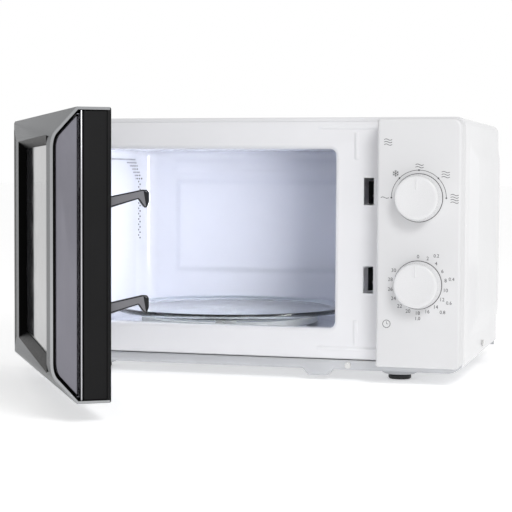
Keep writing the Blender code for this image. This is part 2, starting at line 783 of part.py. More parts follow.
def make_cavity_fittings(steel, glass, ceramic, plastic, oven):
    """Lamp, thermal cut-out and turntable motor, on the outside of the cavity."""
    lamp_y, lamp_z = 186.0, 196.0
    solid(
        "lamp_holder",
        box((WALL_OUT, lamp_y - 13, lamp_z - 12), (WALL_OUT + 2, lamp_y + 13, lamp_z + 26)),
        steel,
        oven,
        joins=[box((WALL_OUT + 1, lamp_y - 11, lamp_z + 14), (WALL_OUT + 24, lamp_y + 11, lamp_z + 24))],
    )
    profile = [(0, 0), (6, 0.5), (8.5, 5), (9.0, 10), (7.0, 16), (5.5, 20), (5.5, 25), (0, 25)]
    centre = (WALL_OUT + 13, lamp_y, lamp_z - 12)
    solid("cavity_lamp", turned(profile, centre, "Z", 20), glass, oven)
    profile = [(0, 0), (8, 0), (8, 4), (6.5, 9), (0, 9)]
    solid("thermal_cutout", turned(profile, (WALL_OUT, 160.0, 92.0), "X", 24), ceramic, oven)
    top = CAVITY_FLOOR - CAVITY_SHEET - GAP
    profile = [(0, top - 14), (23, top - 14), (24, top - 13), (24, top - 2), (12, top), (0, top)]
    solid(
        "turntable_motor",
        turned(profile, (TRAY_X, TRAY_Y, 0)),
        steel,
        oven,
        joins=[box((TRAY_X - 34, TRAY_Y - 7, top - 2.5), (TRAY_X + 34, TRAY_Y + 7, top - 0.7))],
        cuts=[rod(3.3, (TRAY_X, TRAY_Y, 0), "Z", top - 9, top + 5)],
    )


# ---- turntable ----
def make_turntable(glass, plastic, oven):
    middle = (TRAY_X, TRAY_Y, 0)
    table = seat("turntable_axis", (TRAY_X, TRAY_Y, TRAY_BOTTOM), oven)
    low = TRAY_BOTTOM
    rim = low + TRAY_HEIGHT
    inner = low + GLASS
    profile = [
        (0, low),
        (TRAY_RADIUS - 8, low),
        (TRAY_RADIUS - 2.5, low + 1.4),
        (TRAY_RADIUS - 0.3, low + 4.0),
        (TRAY_RADIUS, rim - 1.2),
        (TRAY_RADIUS - 1.4, rim),
        (TRAY_RADIUS - 4.5, rim - 0.8),
        (TRAY_RADIUS - 11, inner),
        (0, inner),
    ]
    lug_circle = 13.0
    lugs = []
    for k in range(3):
        turn = about_z(middle, 120 * k)
        lugs.append(moved(rod(2.6, (TRAY_X + lug_circle, TRAY_Y, 0), "Z", low - 3.6, low + 1, 12), turn))
    solid("turntable", turned(profile, middle, "Z", 64), glass, table, joins=lugs)
    arms = []
    for k in range(3):
        arm = box((TRAY_X, TRAY_Y - 3, low - 4.5), (TRAY_X + 20, TRAY_Y + 3, low - GAP))
        arms.append(moved(arm, about_z(middle, 60 + 120 * k)))
    top = CAVITY_FLOOR - CAVITY_SHEET - GAP
    shaft = rod(3.0, middle, "Z", top - 8, low - 2)
    hub = rod(7.5, middle, "Z", CAVITY_FLOOR + 1.5, low - GAP)
    solid("drive_coupler", hub, plastic, table, joins=[*arms, shaft])


def make_roller_ring(plastic, oven):
    """A flat ring with three stub axles; each carries a roller between the floor and the glass."""
    ring_seat = seat("roller_ring_axis", (TRAY_X, TRAY_Y, ROLLER_Z), oven)
    inner, outer = ROLLER_TRACK - 15.5, ROLLER_TRACK - 6.5
    half = 2.5
    wheel_start = ROLLER_TRACK - ROLLER_WIDTH / 2
    wheel_end = ROLLER_TRACK + ROLLER_WIDTH / 2
    profile = [(inner, -half), (outer, -half), (outer, half), (inner, half)]
    centre = Vector((TRAY_X, TRAY_Y, ROLLER_Z))
    axles = []
    bore = ROLLER_AXLE + 2 * PIN_CLEARANCE
    for k in range(ROLLERS):
        angle = ROLLER_START + 360 * k / ROLLERS
        turn = Matrix.Translation(centre) @ Matrix.Rotation(math.radians(angle), 4, "Z")
        stub = [
            (0, outer - 4),
            (ROLLER_AXLE, outer - 4),
            (ROLLER_AXLE, wheel_end + GAP),
            (ROLLER_AXLE + 1.0, wheel_end + GAP),
            (ROLLER_AXLE + 0.4, wheel_end + 1.8),
            (0, wheel_end + 1.8),
        ]
        axles.append(moved(turned(stub, (0, 0, 0), "X", 16), turn))
        reach = Matrix.Rotation(math.radians(angle), 3, "Z") @ Vector((ROLLER_TRACK, 0, 0))
        wheel_seat = seat(f"roller_{k + 1}_axis", tuple(centre + reach), ring_seat)
        wheel = [
            (bore, wheel_start + GAP),
            (ROLLER_RADIUS - 0.8, wheel_start + GAP),
            (ROLLER_RADIUS, wheel_start + 1),
            (ROLLER_RADIUS, wheel_end - 1),
            (ROLLER_RADIUS - 0.8, wheel_end - GAP),
            (bore, wheel_end - GAP),
        ]
        solid(f"roller_{k + 1}", moved(turned(wheel, (0, 0, 0), "X", 24), turn), plastic, wheel_seat)
    solid("roller_ring", turned(profile, tuple(centre), "Z", 48), plastic, ring_seat, joins=axles)


# ---- interlock ----
def make_interlock(board, switch, red, oven):
    """The board behind the latch slots, with a switch that each hook reaches."""
    plate_left = SLOT_RIGHT + 1.6
    low, high = SLOT_LOWER - 10, SLOT_UPPER + SLOT_HEIGHT + 10
    plate_right = plate_left + 3
    solid(
        "latch_board",
        box((plate_left, CAVITY_FRONT, low), (plate_right, 56, high)),
        board,
        oven,
        joins=[box((WALL_OUT + 8, 52, low), (plate_left + 1, 55, high))],
    )
    switch_left = SLOT_LEFT - 2.0
    button = HOOK_REACH - DOOR_FRONT_GAP + 2 * GAP
    body_front = button + PLUNGER_TRAVEL + GAP
    pairs = (("primary", SLOT_UPPER), ("monitor", SLOT_LOWER))
    for name, slot in pairs:
        z = slot + 8.5
        centre = (HOOK_X, 0, z)
        stem = 4.0
        solid(
            f"{name}_switch",
            box((switch_left, body_front, z - 8), (plate_left - GAP, body_front + 16, z + 14)),
            switch,
            oven,
            cuts=[rod(2.2, centre, "Y", body_front - 5, body_front + stem + PLUNGER_TRAVEL + GAP, 12)],
        )
        press = seat(f"{name}_plunger_axis", (HOOK_X, body_front, z), oven)
        solid(f"{name}_plunger", rod(1.9, centre, "Y", button, body_front + stem, 12), red, press)


# ---- door, drawn shut ----
def hinge_levels():
    """The underside of the upper and of the lower hinge tab."""
    return (DOOR_TOP - HINGE_INSET - HINGE_TAB, DOOR_BOTTOM + HINGE_INSET)


def door_point(u, v, z):
    """A point in the door: u from its left edge, v forward from its inner face."""
    return (DOOR_LEFT + u, -DOOR_FRONT_GAP - v, z)


def bulge(u):
    """How far the door's front stands beyond its inner part, at a distance from the hinge edge."""
    return DOOR_BULGE_HINGE + (DOOR_BULGE_FREE - DOOR_BULGE_HINGE) * u / DOOR_WIDTH


def door_section(u, back, inset):
    """The door's outline seen from its free edge: flat, then a bevel that rounds into the front."""
    depth = max(bulge(u) - 0.6 * inset, 0.3)
    base = DOOR_INNER - 0.4 * inset
    low, high = DOOR_BOTTOM + inset, DOOR_TOP - inset
    start, control, end = (0.81, 0.9), (1.0, 1.11), (1.0, 1.57)
    curve = []
    for k in range(5):
        t = k / 4
        blend = ((1 - t) ** 2, 2 * t * (1 - t), t * t)
        point = [sum(w * p[i] for w, p in zip(blend, (start, control, end))) for i in (0, 1)]
        curve.append((point[0] * depth, point[1] * depth))
    lower = [(base + v, low + rise) for v, rise in curve]
    upper = [(base + v, high - rise) for v, rise in reversed(curve)]
    points = [(back, low), (base, low)] + lower + upper + [(base, high), (back, high)]
    return [door_point(u, v, z) for v, z in points]


def recess(depth, grow):
    """The window recess's rectangle at a depth below the front: its walls lean in at 45 degrees."""
    left = WINDOW_LEFT + depth - grow
    right = DOOR_WIDTH - WINDOW_RIGHT - depth + grow
    low = DOOR_BOTTOM + WINDOW_MARGIN + depth - grow
    high = DOOR_TOP - WINDOW_MARGIN - depth + grow
    corners = ((left, low), (right, low), (right, high), (left, high))
    return [door_point(u, DOOR_INNER + bulge(u) - depth, z) for u, z in corners]


def block(u_range, v_range, z_range):
    """A box in the door's own coordinates."""
    first = door_point(u_range[0], v_range[1], z_range[0])
    last = door_point(u_range[1], v_range[0], z_range[1])
    return box(first, last)


def hinge_notches():
    """Room for the hinge tabs to turn in the door's left rear corner."""
    return [
        block((-5, HINGE_IN + 8), (-5, HINGE_FORWARD + 8), (low - 1.2, low + HINGE_TAB + 1.2))
        for low in hinge_levels()
    ]


def make_door(finishes, oven):
    hinge = seat("door_hinge_axis", (HINGE_X, HINGE_Y, DOOR_BOTTOM), oven)
    make_door_shell(finishes["door_silver"], hinge)
    pane = recess(WINDOW_DEPTH + GAP, RECESS_WALL - 1.0)
    back = [(x, y + WINDOW_GLASS, z) for x, y, z in pane]
    solid("door_window", skin([pane, back]), finishes["dark_glass"], hinge)
    make_choke_cover(finishes["black_plastic"], hinge)
    across, through = (36.0, DOOR_WIDTH - 40.0), (COVER_WALL + 4, COVER_WALL + 5.2)
    solid(
        "door_screen",
        block(across, through, (DOOR_BOTTOM + 28, DOOR_TOP - 28)),
        finishes["enamel"],
        hinge,
    )
    make_end_trim(finishes, hinge)
    make_door_hinges(finishes["zinc"], hinge)
    make_latch(finishes["grey_plastic"], finishes["zinc"], hinge)
    hinge.empty.rotation_euler = (0, 0, math.radians(-DOOR_OPEN))


def make_door_shell(finish, hinge):
    end = DOOR_WIDTH
    outer = skin([door_section(u, 1.0, 0.0) for u in (0.0, end)])
    hollow = skin([door_section(u, -5.0, DOOR_WALL) for u in (DOOR_WALL, end + 5)])
    side_below_axis = block(
        (-5, DOOR_WALL + 0.5), (-5, HINGE_FORWARD + GAP), (DOOR_BOTTOM + DOOR_WALL, DOOR_TOP - DOOR_WALL)
    )
    swing = HINGE_IN - SWING_CLEARANCE
    centre = (HINGE_X, HINGE_Y)
    corner_arc = arc(centre, swing, 90, 180, 6)
    corner = [(DOOR_LEFT - 5, HINGE_Y + 20), (HINGE_X, HINGE_Y + 20), *corner_arc, (DOOR_LEFT - 5, HINGE_Y)]
    swing_cut = prism(corner, "Z", DOOR_BOTTOM - 5, DOOR_TOP + 5)
    chamfer = 4.0
    face = -DOOR_FRONT_GAP - DOOR_INNER
    edge = [
        (DOOR_LEFT - 1, face - 5),
        (DOOR_LEFT + chamfer, face - 5),
        (DOOR_LEFT + chamfer, face - 1.4),
        (DOOR_LEFT, face + chamfer),
        (DOOR_LEFT - 1, face + chamfer),
    ]
    edge_cut = prism(edge, "Z", DOOR_BOTTOM - 5, DOOR_TOP + 5)
    solid(
        "door_shell",
        outer,
        finish,
        hinge,
        cuts=[hollow, side_below_axis, swing_cut, *hinge_notches(), edge_cut],
        walls=[skin([recess(1.0, RECESS_WALL), recess(WINDOW_DEPTH, RECESS_WALL)])],
        openings=[skin([recess(-2.0, 0.0), recess(WINDOW_DEPTH + 2, 0.0)])],
    )


def plan(u, v):
    """A point of the door seen from above."""
    return door_point(u, v, 0)[:2]


def cover_room(inset, right, front):
    """Plan of the room inside the choke cover, whose corner is round about the hinge axis."""
    reach = HINGE_FORWARD - COVER_WALL - inset
    left = DOOR_WALL + GAP + COVER_WALL + inset
    turn = math.degrees(math.acos((HINGE_IN - left) / reach))
    corner = arc((HINGE_X, HINGE_Y), reach, 90, 180 - turn, 6)
    return [plan(right, front), plan(right, COVER_WALL + inset), *corner, plan(left, front)]


def make_choke_cover(finish, hinge):
    """The black moulding that fills the door's inner side, hollow towards the front."""
    side = DOOR_WALL + GAP
    right = DOOR_WIDTH - 1.6
    low, high = DOOR_BOTTOM + side, DOOR_TOP - side
    corner = arc((HINGE_X, HINGE_Y), HINGE_FORWARD, 90, 180, 6)
    outline = [
        plan(right, COVER_DEPTH),
        plan(right, 0),
        *corner,
        plan(side, HINGE_FORWARD),
        plan(side, COVER_DEPTH),
    ]
    hook_u = HOOK_X - DOOR_LEFT
    through = (-5, COVER_WALL + 5)
    slots = [block((hook_u - 4, hook_u + 4), through, (z - 1.5, z + 24.5)) for z in hook_levels()]
    solid(
        "choke_cover",
        prism(outline, "Z", low, high),
        finish,
        hinge,
        cuts=[
            prism(
                cover_room(0.0, right - COVER_WALL, COVER_DEPTH + 5), "Z", low + COVER_WALL, high - COVER_WALL
            ),
            block((44, DOOR_WIDTH - 48), through, (DOOR_BOTTOM + 36, DOOR_TOP - 36)),
            *hinge_notches(),
            *slots,
        ],
    )


def make_end_trim(finishes, hinge):
    """At the free edge: a silver strip, and a grey panel set in the bulge with a dark groove round it."""
    side = DOOR_WALL + GAP
    solid(
        "end_strip",
        block(
            (DOOR_WIDTH - 6, DOOR_WIDTH - 1.4),
            (COVER_DEPTH + 1.5 * GAP, COVER_DEPTH + 1.5 * GAP + TRIM_STRIP),
            (DOOR_BOTTOM + side, DOOR_TOP - side),
        ),
        finishes["silver_plastic"],
        hinge,
    )
    groove = 5.0

    def section(u):
        points = door_section(DOOR_WIDTH, COVER_DEPTH + 4.4, groove)
        return [(x - DOOR_WIDTH + u, y, z) for x, y, z in points[1:-1]]

    grip = skin([section(DOOR_WIDTH - 8), section(DOOR_WIDTH - 2.5)])
    solid("end_grip", grip, finishes["grip_plastic"], hinge)


def make_door_hinges(finish, hinge):
    """The plates in the door that turn on the hinge pins."""
    for name, low in zip(("door_hinge_upper", "door_hinge_lower"), hinge_levels()):
        start = low + HINGE_TAB + GAP
        plate = prism(cover_room(GAP, 34.0, HINGE_FORWARD + 7), "Z", start, start + 2.4)
        hole = rod(HINGE_PIN + PIN_CLEARANCE, (HINGE_X, HINGE_Y, 0), "Z", start - 5, start + 8, 32)
        solid(name, plate, finish, hinge, cuts=[hole])


def make_hinge_brackets(finish, oven):
    """The body's hinge tabs: a foot behind the front plate, a tab through it, and an upright pin."""
    for name, low in zip(("hinge_bracket_upper", "hinge_bracket_lower"), hinge_levels()):
        half = 6.0
        foot_back = CAVITY_FRONT + 1.6
        foot = box((HINGE_X - half, CAVITY_FRONT, low - 5), (HINGE_X + half, foot_back, low + HINGE_TAB + 6))
        tab = box((HINGE_X - half, HINGE_Y, low), (HINGE_X + half, foot_back - 0.2, low + HINGE_TAB))
        end = rod(half, (HINGE_X, HINGE_Y, 0), "Z", low, low + HINGE_TAB)
        pin = rod(HINGE_PIN, (HINGE_X, HINGE_Y, 0), "Z", low + 0.5, low + HINGE_TAB + 5.2, 32)
        solid(name, foot, finish, oven, joins=[tab, end, pin])


def hook_levels():
    """The underside of each hook's arm where it leaves the door."""
    return (SLOT_LOWER + 1.4, SLOT_UPPER + 1.4)


def make_latch(finish, metal, hinge):
    """One upright bar in the door with two hooks; it slides up against a spring as the door shuts."""
    slide = seat("latch_slide", (HOOK_X, -DOOR_FRONT_GAP, hook_levels()[0]), hinge)
    bar_back, bar_front = 5.0, 15.0
    reach = HOOK_REACH

    def arm(z):
        """From the arm's top at the bar, out round the beak and back along its underside."""
        return [
            (bar_back, z + 8.6),
            (1.0, z + 8.6),
            (-reach + 5.0, z + 14.4),
            (-reach + 1.5, z + 14.2),
            (-reach, z + 12.0),
            (-reach, z + 4.5),
            (-reach + 1.5, z + 0.8),
            (-reach + 3.0, z),
            (-reach + 4.5, z + 1.2),
            (-reach + 8.5, z + 7.0),
            (-2.0, z + 0.2),
            (bar_back, z + 0.2),
        ]

    lower, upper = hook_levels()
    bar_low, bar_high = lower - 8, upper + 16
    outline = [(bar_back, bar_low), (bar_front, bar_low), (bar_front, bar_high), (bar_back, bar_high)]
    outline += arm(upper) + arm(lower)
    profile = [(-DOOR_FRONT_GAP - v, z) for v, z in outline]
    half = HOOK_THICKNESS / 2
    solid("latch_hooks", prism(profile, "X", HOOK_X - half, HOOK_X + half), finish, slide)
    spring_z = (lower + upper) / 2
    spring = (HOOK_X - 9, -DOOR_FRONT_GAP - 10, 0)
    solid("latch_spring", rod(3.0, spring, "Z", spring_z - 14, spring_z + 14, 16), metal, hinge)


def stand_at_origin(oven):
    """Moves the oven so that the origin is the bottom centre of the box round its pieces."""
    bpy.context.view_layer.update()
    graph = bpy.context.evaluated_depsgraph_get()
    points = []
    for piece in bpy.context.scene.objects:
        if piece.type == "MESH" and not piece.hide_render:
            shape = piece.evaluated_get(graph)
            points += [shape.matrix_world @ vertex.co for vertex in shape.data.vertices]
    low = [min(point[axis] for point in points) for axis in range(3)]
    high = [max(point[axis] for point in points) for axis in range(3)]
    oven.empty.location = (-(low[0] + high[0]) / 2, -(low[1] + high[1]) / 2, -low[2])


def main():
    clear_scene()
    white_steel = make_material("white_steel", (0.86, 0.86, 0.86), 0.35)
    finishes = {
        "enamel": make_material("enamel", (0.80, 0.82, 0.86), 0.25),
        "door_silver": make_material("door_silver", (0.62, 0.63, 0.64), 0.25, 0.4),
        "dark_glass": make_material("dark_glass", (0.10, 0.10, 0.11), 0.05),
        "black_plastic": make_material("black_plastic", (0.02, 0.02, 0.02), 0.5),
        "silver_plastic": make_material("silver_plastic", (0.7, 0.7, 0.71), 0.3, 0.6),
        "grip_plastic": make_material("grip_plastic", (0.35, 0.34, 0.38), 0.3),
        "grey_plastic": make_material("grey_plastic", (0.22, 0.22, 0.24), 0.45),
        "zinc": make_material("zinc", (0.72, 0.72, 0.72), 0.35, 1.0),
    }
    base_grey = make_material("base_grey", (0.45, 0.46, 0.48), 0.4, 0.5)
    white_plastic = make_material("white_plastic", (0.80, 0.80, 0.81), 0.35)
    rubber = make_material("rubber", (0.02, 0.02, 0.02), 0.7)
    black = finishes["black_plastic"]
    aluminium = make_material("aluminium", (0.75, 0.76, 0.78), 0.35, 1.0)
    iron = make_material("iron", (0.20, 0.20, 0.21), 0.5, 0.8)
    copper = make_material("copper", (0.60, 0.28, 0.12), 0.35, 0.9)
    mica = make_material("mica", (0.60, 0.52, 0.40), 0.5)
    glass = make_material("glass", (0.85, 0.90, 0.88), 0.05)
    ceramic = make_material("ceramic", (0.85, 0.82, 0.75), 0.6)

    oven = seat("oven", (0, 0, 0))
    make_casing(white_steel, oven)
    make_front_frame(white_steel, oven)
    make_cavity(finishes["enamel"], oven)
    make_base(base_grey, rubber, oven)
    make_rear(base_grey, black, oven)
    make_screws(finishes["zinc"], oven)
    make_panel(white_plastic, oven)
    zinc = finishes["zinc"]
    make_knob("power_knob", "power_switch", POWER_KNOB_Z, (17, 17), 24, white_plastic, black, zinc, oven)
    make_knob("timer_knob", "timer_unit", TIMER_KNOB_Z, (27, 30), 42, white_plastic, ceramic, zinc, oven)
    make_microwave_source(aluminium, aluminium, mica, oven)
    make_power_supply(iron, copper, aluminium, black, oven)
    make_fan(white_plastic, iron, oven)
    make_cavity_fittings(zinc, glass, ceramic, white_plastic, oven)
    make_turntable(glass, white_plastic, oven)
    make_roller_ring(white_plastic, oven)
    make_interlock(white_plastic, black, finishes["grey_plastic"], oven)
    make_hinge_brackets(zinc, oven)
    make_door(finishes, oven)
    stand_at_origin(oven)


main()
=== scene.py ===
# %% [markdown]
# A countertop microwave oven, door open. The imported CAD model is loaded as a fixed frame: its boxes say where
# every piece is, and the new pieces are laid over it. Everything below works in millimetres in the oven's own
# space: X to the right from the middle of the front plate, Y to the back from its face, Z up from the
# worktop.

import json
import math

import bmesh
import bpy
import numpy as np
from mathutils import Matrix, Vector

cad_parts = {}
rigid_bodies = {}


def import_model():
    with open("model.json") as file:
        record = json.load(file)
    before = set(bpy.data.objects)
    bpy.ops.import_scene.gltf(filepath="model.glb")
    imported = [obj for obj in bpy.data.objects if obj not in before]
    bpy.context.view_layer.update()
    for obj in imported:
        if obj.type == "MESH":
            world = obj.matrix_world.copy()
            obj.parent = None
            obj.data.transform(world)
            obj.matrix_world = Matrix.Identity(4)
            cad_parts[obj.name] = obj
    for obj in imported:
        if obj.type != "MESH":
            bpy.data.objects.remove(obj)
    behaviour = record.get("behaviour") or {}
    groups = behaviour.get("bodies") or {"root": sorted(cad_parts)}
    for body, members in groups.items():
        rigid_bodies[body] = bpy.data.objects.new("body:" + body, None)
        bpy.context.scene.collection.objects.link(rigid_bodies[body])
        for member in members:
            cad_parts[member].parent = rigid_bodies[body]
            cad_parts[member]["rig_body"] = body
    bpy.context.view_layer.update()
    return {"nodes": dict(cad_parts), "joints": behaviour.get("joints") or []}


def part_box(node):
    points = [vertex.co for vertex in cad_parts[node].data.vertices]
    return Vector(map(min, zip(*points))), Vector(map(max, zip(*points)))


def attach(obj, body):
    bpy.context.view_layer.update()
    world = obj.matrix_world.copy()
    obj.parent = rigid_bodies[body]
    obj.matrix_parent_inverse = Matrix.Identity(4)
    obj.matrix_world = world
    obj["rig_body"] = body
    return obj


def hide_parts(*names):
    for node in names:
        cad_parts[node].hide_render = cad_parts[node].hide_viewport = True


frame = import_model()
MM = 0.001
plate_low, plate_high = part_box("front_frame")
ORIGIN = np.array([(plate_low.x + plate_high.x) / 2, plate_low.y, 0.0])
joints = {joint["name"]: joint for joint in frame["joints"]}
print("nodes", len(frame["nodes"]), "origin of the oven's own space", ORIGIN.round(4))


def oven_box(node):
    """A node's lowest and highest corner in the oven's own space, in millimetres."""
    low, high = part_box(node)
    return (np.array(low) - ORIGIN) / MM, (np.array(high) - ORIGIN) / MM


def oven_space(points):
    """Millimetres in the oven's own space to metres in the frame."""
    return np.asarray(points, float) * MM + ORIGIN


# %% [markdown]
# The door is drawn shut, because shut it lines up with the body, and is then turned about its hinge. How far
# it stands open is what the hinge's lower limit says: the joint is at zero as shown, and shut at that limit.

# %% The door's own space
hinge = (np.array(joints["door_hinge"]["pos_m"]) - ORIGIN) / MM
DOOR_OPEN = math.radians(-joints["door_hinge"]["range_deg"][0])


def door_space(points):
    """Points of the shut door, turned about the vertical hinge by the angle it stands open, then to the
    frame."""
    points = np.asarray(points, float)
    away = points[..., :2] - hinge[:2]
    cosine, sine = math.cos(-DOOR_OPEN), math.sin(-DOOR_OPEN)
    turned_x = cosine * away[..., 0] - sine * away[..., 1] + hinge[0]
    turned_y = sine * away[..., 0] + cosine * away[..., 1] + hinge[1]
    return oven_space(np.stack([turned_x, turned_y, points[..., 2]], axis=-1))


print("door open", round(math.degrees(DOOR_OPEN), 1), "degrees about", hinge[:2].round(2))

# %% [markdown]
# The camera stands at chest height to the right of the oven and looks a little to the left and down, with a
# long lens, so that the body's verticals stay nearly upright and both the cavity and the open door are seen.

# %% Camera
CAMERA_PLACE = (413.3, -1421.8, 194.9)
CAMERA_YAW = 15.49
CAMERA_PITCH = 3.01
CAMERA_ROLL = 0.30
CAMERA_LENS = 107.94
yaw, pitch, roll = (math.radians(angle) for angle in (CAMERA_YAW, CAMERA_PITCH, CAMERA_ROLL))
lens = bpy.data.cameras.new("camera")
lens.lens = CAMERA_LENS
lens.sensor_width = 36.0
lens.clip_end = 50.0
camera = bpy.data.objects.new("camera", lens)
bpy.context.scene.collection.objects.link(camera)
turn = Matrix.Rotation(yaw, 4, "Z") @ Matrix.Rotation(
    math.pi / 2 - pitch, 4, "X"
) @ Matrix.Rotation(roll, 4, "Z")
camera.matrix_world = Matrix.Translation(Vector(oven_space(CAMERA_PLACE))) @ turn
bpy.context.scene.camera = camera
print("camera at", camera.location[:])

# %% [markdown]
# A pale floor runs on to the horizon under an even white sky, as on a studio sweep. The sky is at full
# strength
# to the camera and in reflections, and lights everything else at a share of that, FILL, so that shadows keep
# some depth. A large soft light from the upper right models the shapes, and a narrow one behind the
# oven, out of view, puts a highlight along the bevel
# on the casing's side. The last one is inside the cavity, on its right wall near the front, as a microwave
# oven's lamp is: it makes the enamel glow.

# %% Floor and light
bpy.context.scene.view_settings.view_transform = "Standard"


def make_floor():
    """A square plane on the worktop, big enough to meet the sky at the horizon."""
    reach = 30.0
    mesh = bpy.data.meshes.new("floor")
    mesh.from_pydata(
        [(-reach, -reach, 0), (reach, -reach, 0), (reach, reach, 0), (-reach, reach, 0)], [], [(0, 1, 2, 3)]
    )
    made = bpy.data.objects.new("floor", mesh)
    bpy.context.scene.collection.objects.link(made)
    pale = bpy.data.materials.new("pale_floor")
    pale.use_nodes = True
    shader = pale.node_tree.nodes["Principled BSDF"]
    shader.inputs["Base Color"].default_value = (0.95, 0.95, 0.95, 1)
    shader.inputs["Roughness"].default_value = 0.9
    shader.inputs["Emission Color"].default_value = (1, 1, 1, 1)
    shader.inputs["Emission Strength"].default_value = 0.38
    mesh.materials.append(pale)


def area_light(name, place, target, size, power, spread=180.0):
    """A soft rectangular light at a place, in metres, aimed at a target, whose beam can be narrowed."""
    light = bpy.data.lights.new(name, "AREA")
    light.shape = "RECTANGLE"
    light.size, light.size_y = size
    light.energy = power
    light.spread = math.radians(spread)
    made = bpy.data.objects.new(name, light)
    bpy.context.scene.collection.objects.link(made)
    made.location = place
    made.rotation_euler = (Vector(target) - Vector(place)).to_track_quat("-Z", "Y").to_euler()


make_floor()
FILL = 0.58
sky = bpy.data.worlds.new("studio")
sky.use_nodes = True
background = sky.node_tree.nodes["Background"]
background.inputs["Color"].default_value = (1.0, 1.0, 1.0, 1)
ray = sky.node_tree.nodes.new("ShaderNodeLightPath")
direct = sky.node_tree.nodes.new("ShaderNodeMath")
direct.operation = "MAXIMUM"
sky.node_tree.links.new(ray.outputs["Is Camera Ray"], direct.inputs[0])
sky.node_tree.links.new(ray.outputs["Is Glossy Ray"], direct.inputs[1])
level = sky.node_tree.nodes.new("ShaderNodeMath")
level.operation = "MULTIPLY_ADD"
sky.node_tree.links.new(direct.outputs[0], level.inputs[0])
level.inputs[1].default_value = 1.0 - FILL
level.inputs[2].default_value = FILL
sky.node_tree.links.new(level.outputs[0], background.inputs["Strength"])
bpy.context.scene.world = sky
area_light("key", (1.05, -1.55, 1.3), (0, 0, 0.12), (0.7, 0.7), 18.5)
area_light("rim", (0.62, 2.0, 0.25), (0.22, 0.07, 0.13), (0.10, 0.5), 0.08)
lamp_place, lamp_target = oven_space((93.0, 42.0, 150.0)), oven_space((-188.0, 150.0, 125.0))
area_light("cavity_light", lamp_place, lamp_target, (0.05, 0.13), 0.36, 95.0)

# %% [markdown]
# Every finish is a Principled shader whose grain comes from noise on Object coordinates, so it keeps its
# scale
# in millimetres. One noise gives the fine bump of the coating and varies its gloss, and a wide, faint one
# varies its tone
# the way a real surface does. Plain values sit on the shader's own sockets.

# %% A general finish
PER_MM = 1000.0  # noise scale of one cell to the millimetre, in metres


def shader_of(material):
    return material.node_tree.nodes["Principled BSDF"]


def node(material, kind, **settings):
    """A shader node with its inputs or properties set by name."""
    made = material.node_tree.nodes.new(kind)
    for name, value in settings.items():
        name = name.replace("_", " ")
        if name in made.inputs:
            made.inputs[name].default_value = value
        else:
            setattr(made, name.replace(" ", "_"), value)
    return made


def link(material, start, end):
    material.node_tree.links.new(start, end)


def noise(material, cell, detail=2.0, stretch=(1, 1, 1)):
    """Noise whose cells are a given size in millimetres, stretched along an axis if asked."""
    place = node(material, "ShaderNodeTexCoord")
    mapping = node(material, "ShaderNodeMapping")
    mapping.inputs["Scale"].default_value = stretch
    grain = node(material, "ShaderNodeTexNoise", Scale=PER_MM / cell, Detail=detail)
    link(material, place.outputs["Object"], mapping.inputs["Vector"])
    link(material, mapping.outputs["Vector"], grain.inputs["Vector"])
    return grain.outputs["Fac"]


def spread(material, value, low, high):
    """Maps a noise's usual 0.35 to 0.65 onto a range."""
    made = node(material, "ShaderNodeMapRange")
    for socket, number in (("From Min", 0.35), ("From Max", 0.65), ("To Min", low), ("To Max", high)):
        made.inputs[socket].default_value = number
    link(material, value, made.inputs["Value"])
    return made.outputs["Result"]


def shades(material, value, dark, light):
    """A colour that goes from dark to light with a value."""
    ramp = node(material, "ShaderNodeValToRGB")
    ramp.color_ramp.elements[0].position = 0.35
    ramp.color_ramp.elements[1].position = 0.65
    ramp.color_ramp.elements[0].color = (*dark, 1)
    ramp.color_ramp.elements[1].color = (*light, 1)
    link(material, value, ramp.inputs["Fac"])
    return ramp.outputs["Color"]


def bump(material, value, depth, previous=None):
    """A bump of a depth in millimetres, laid over an earlier one."""
    made = node(material, "ShaderNodeBump", Strength=1.0, Distance=depth * MM)
    link(material, value, made.inputs["Height"])
    if previous is not None:
        link(material, previous, made.inputs["Normal"])
    return made.outputs["Normal"]


def finish(
    name, colour, roughness, metallic=0.0, grain=1.0, depth=0.01, vary=0.04, gloss=0.05, stretch=(1, 1, 1),
    coat=0.0, shine=0.5
):
    """A coated or moulded surface: a base colour that varies by a small share, and a fine grain."""
    made = bpy.data.materials.new(name)
    made.use_nodes = True
    shader = shader_of(made)
    wide = noise(made, 60.0, 3.0)
    dark = tuple(channel * (1 - vary) for channel in colour)
    light = tuple(min(1.0, channel * (1 + vary)) for channel in colour)
    link(made, shades(made, wide, dark, light), shader.inputs["Base Color"])
    fine = noise(made, grain, 2.0, stretch)
    link(
        made, spread(made, fine, max(0.02, roughness - gloss), roughness + gloss),
        shader.inputs["Roughness"]
    )
    link(made, bump(made, fine, depth), shader.inputs["Normal"])
    shader.inputs["Metallic"].default_value = metallic
    shader.inputs["Coat Weight"].default_value = coat
    shader.inputs["Coat Roughness"].default_value = 0.06
    shader.inputs["Specular IOR Level"].default_value = shine
    return made


def metal(name, colour, edge, roughness):
    """A metallic lacquer: its reflection stays the same grey right to the edge, with a very fine flake."""
    made = finish(name, colour, roughness, 1.0, grain=0.3, depth=0.001, vary=0.03, gloss=0.04)
    shader_of(made).inputs["Specular Tint"].default_value = (*edge, 1)
    return made


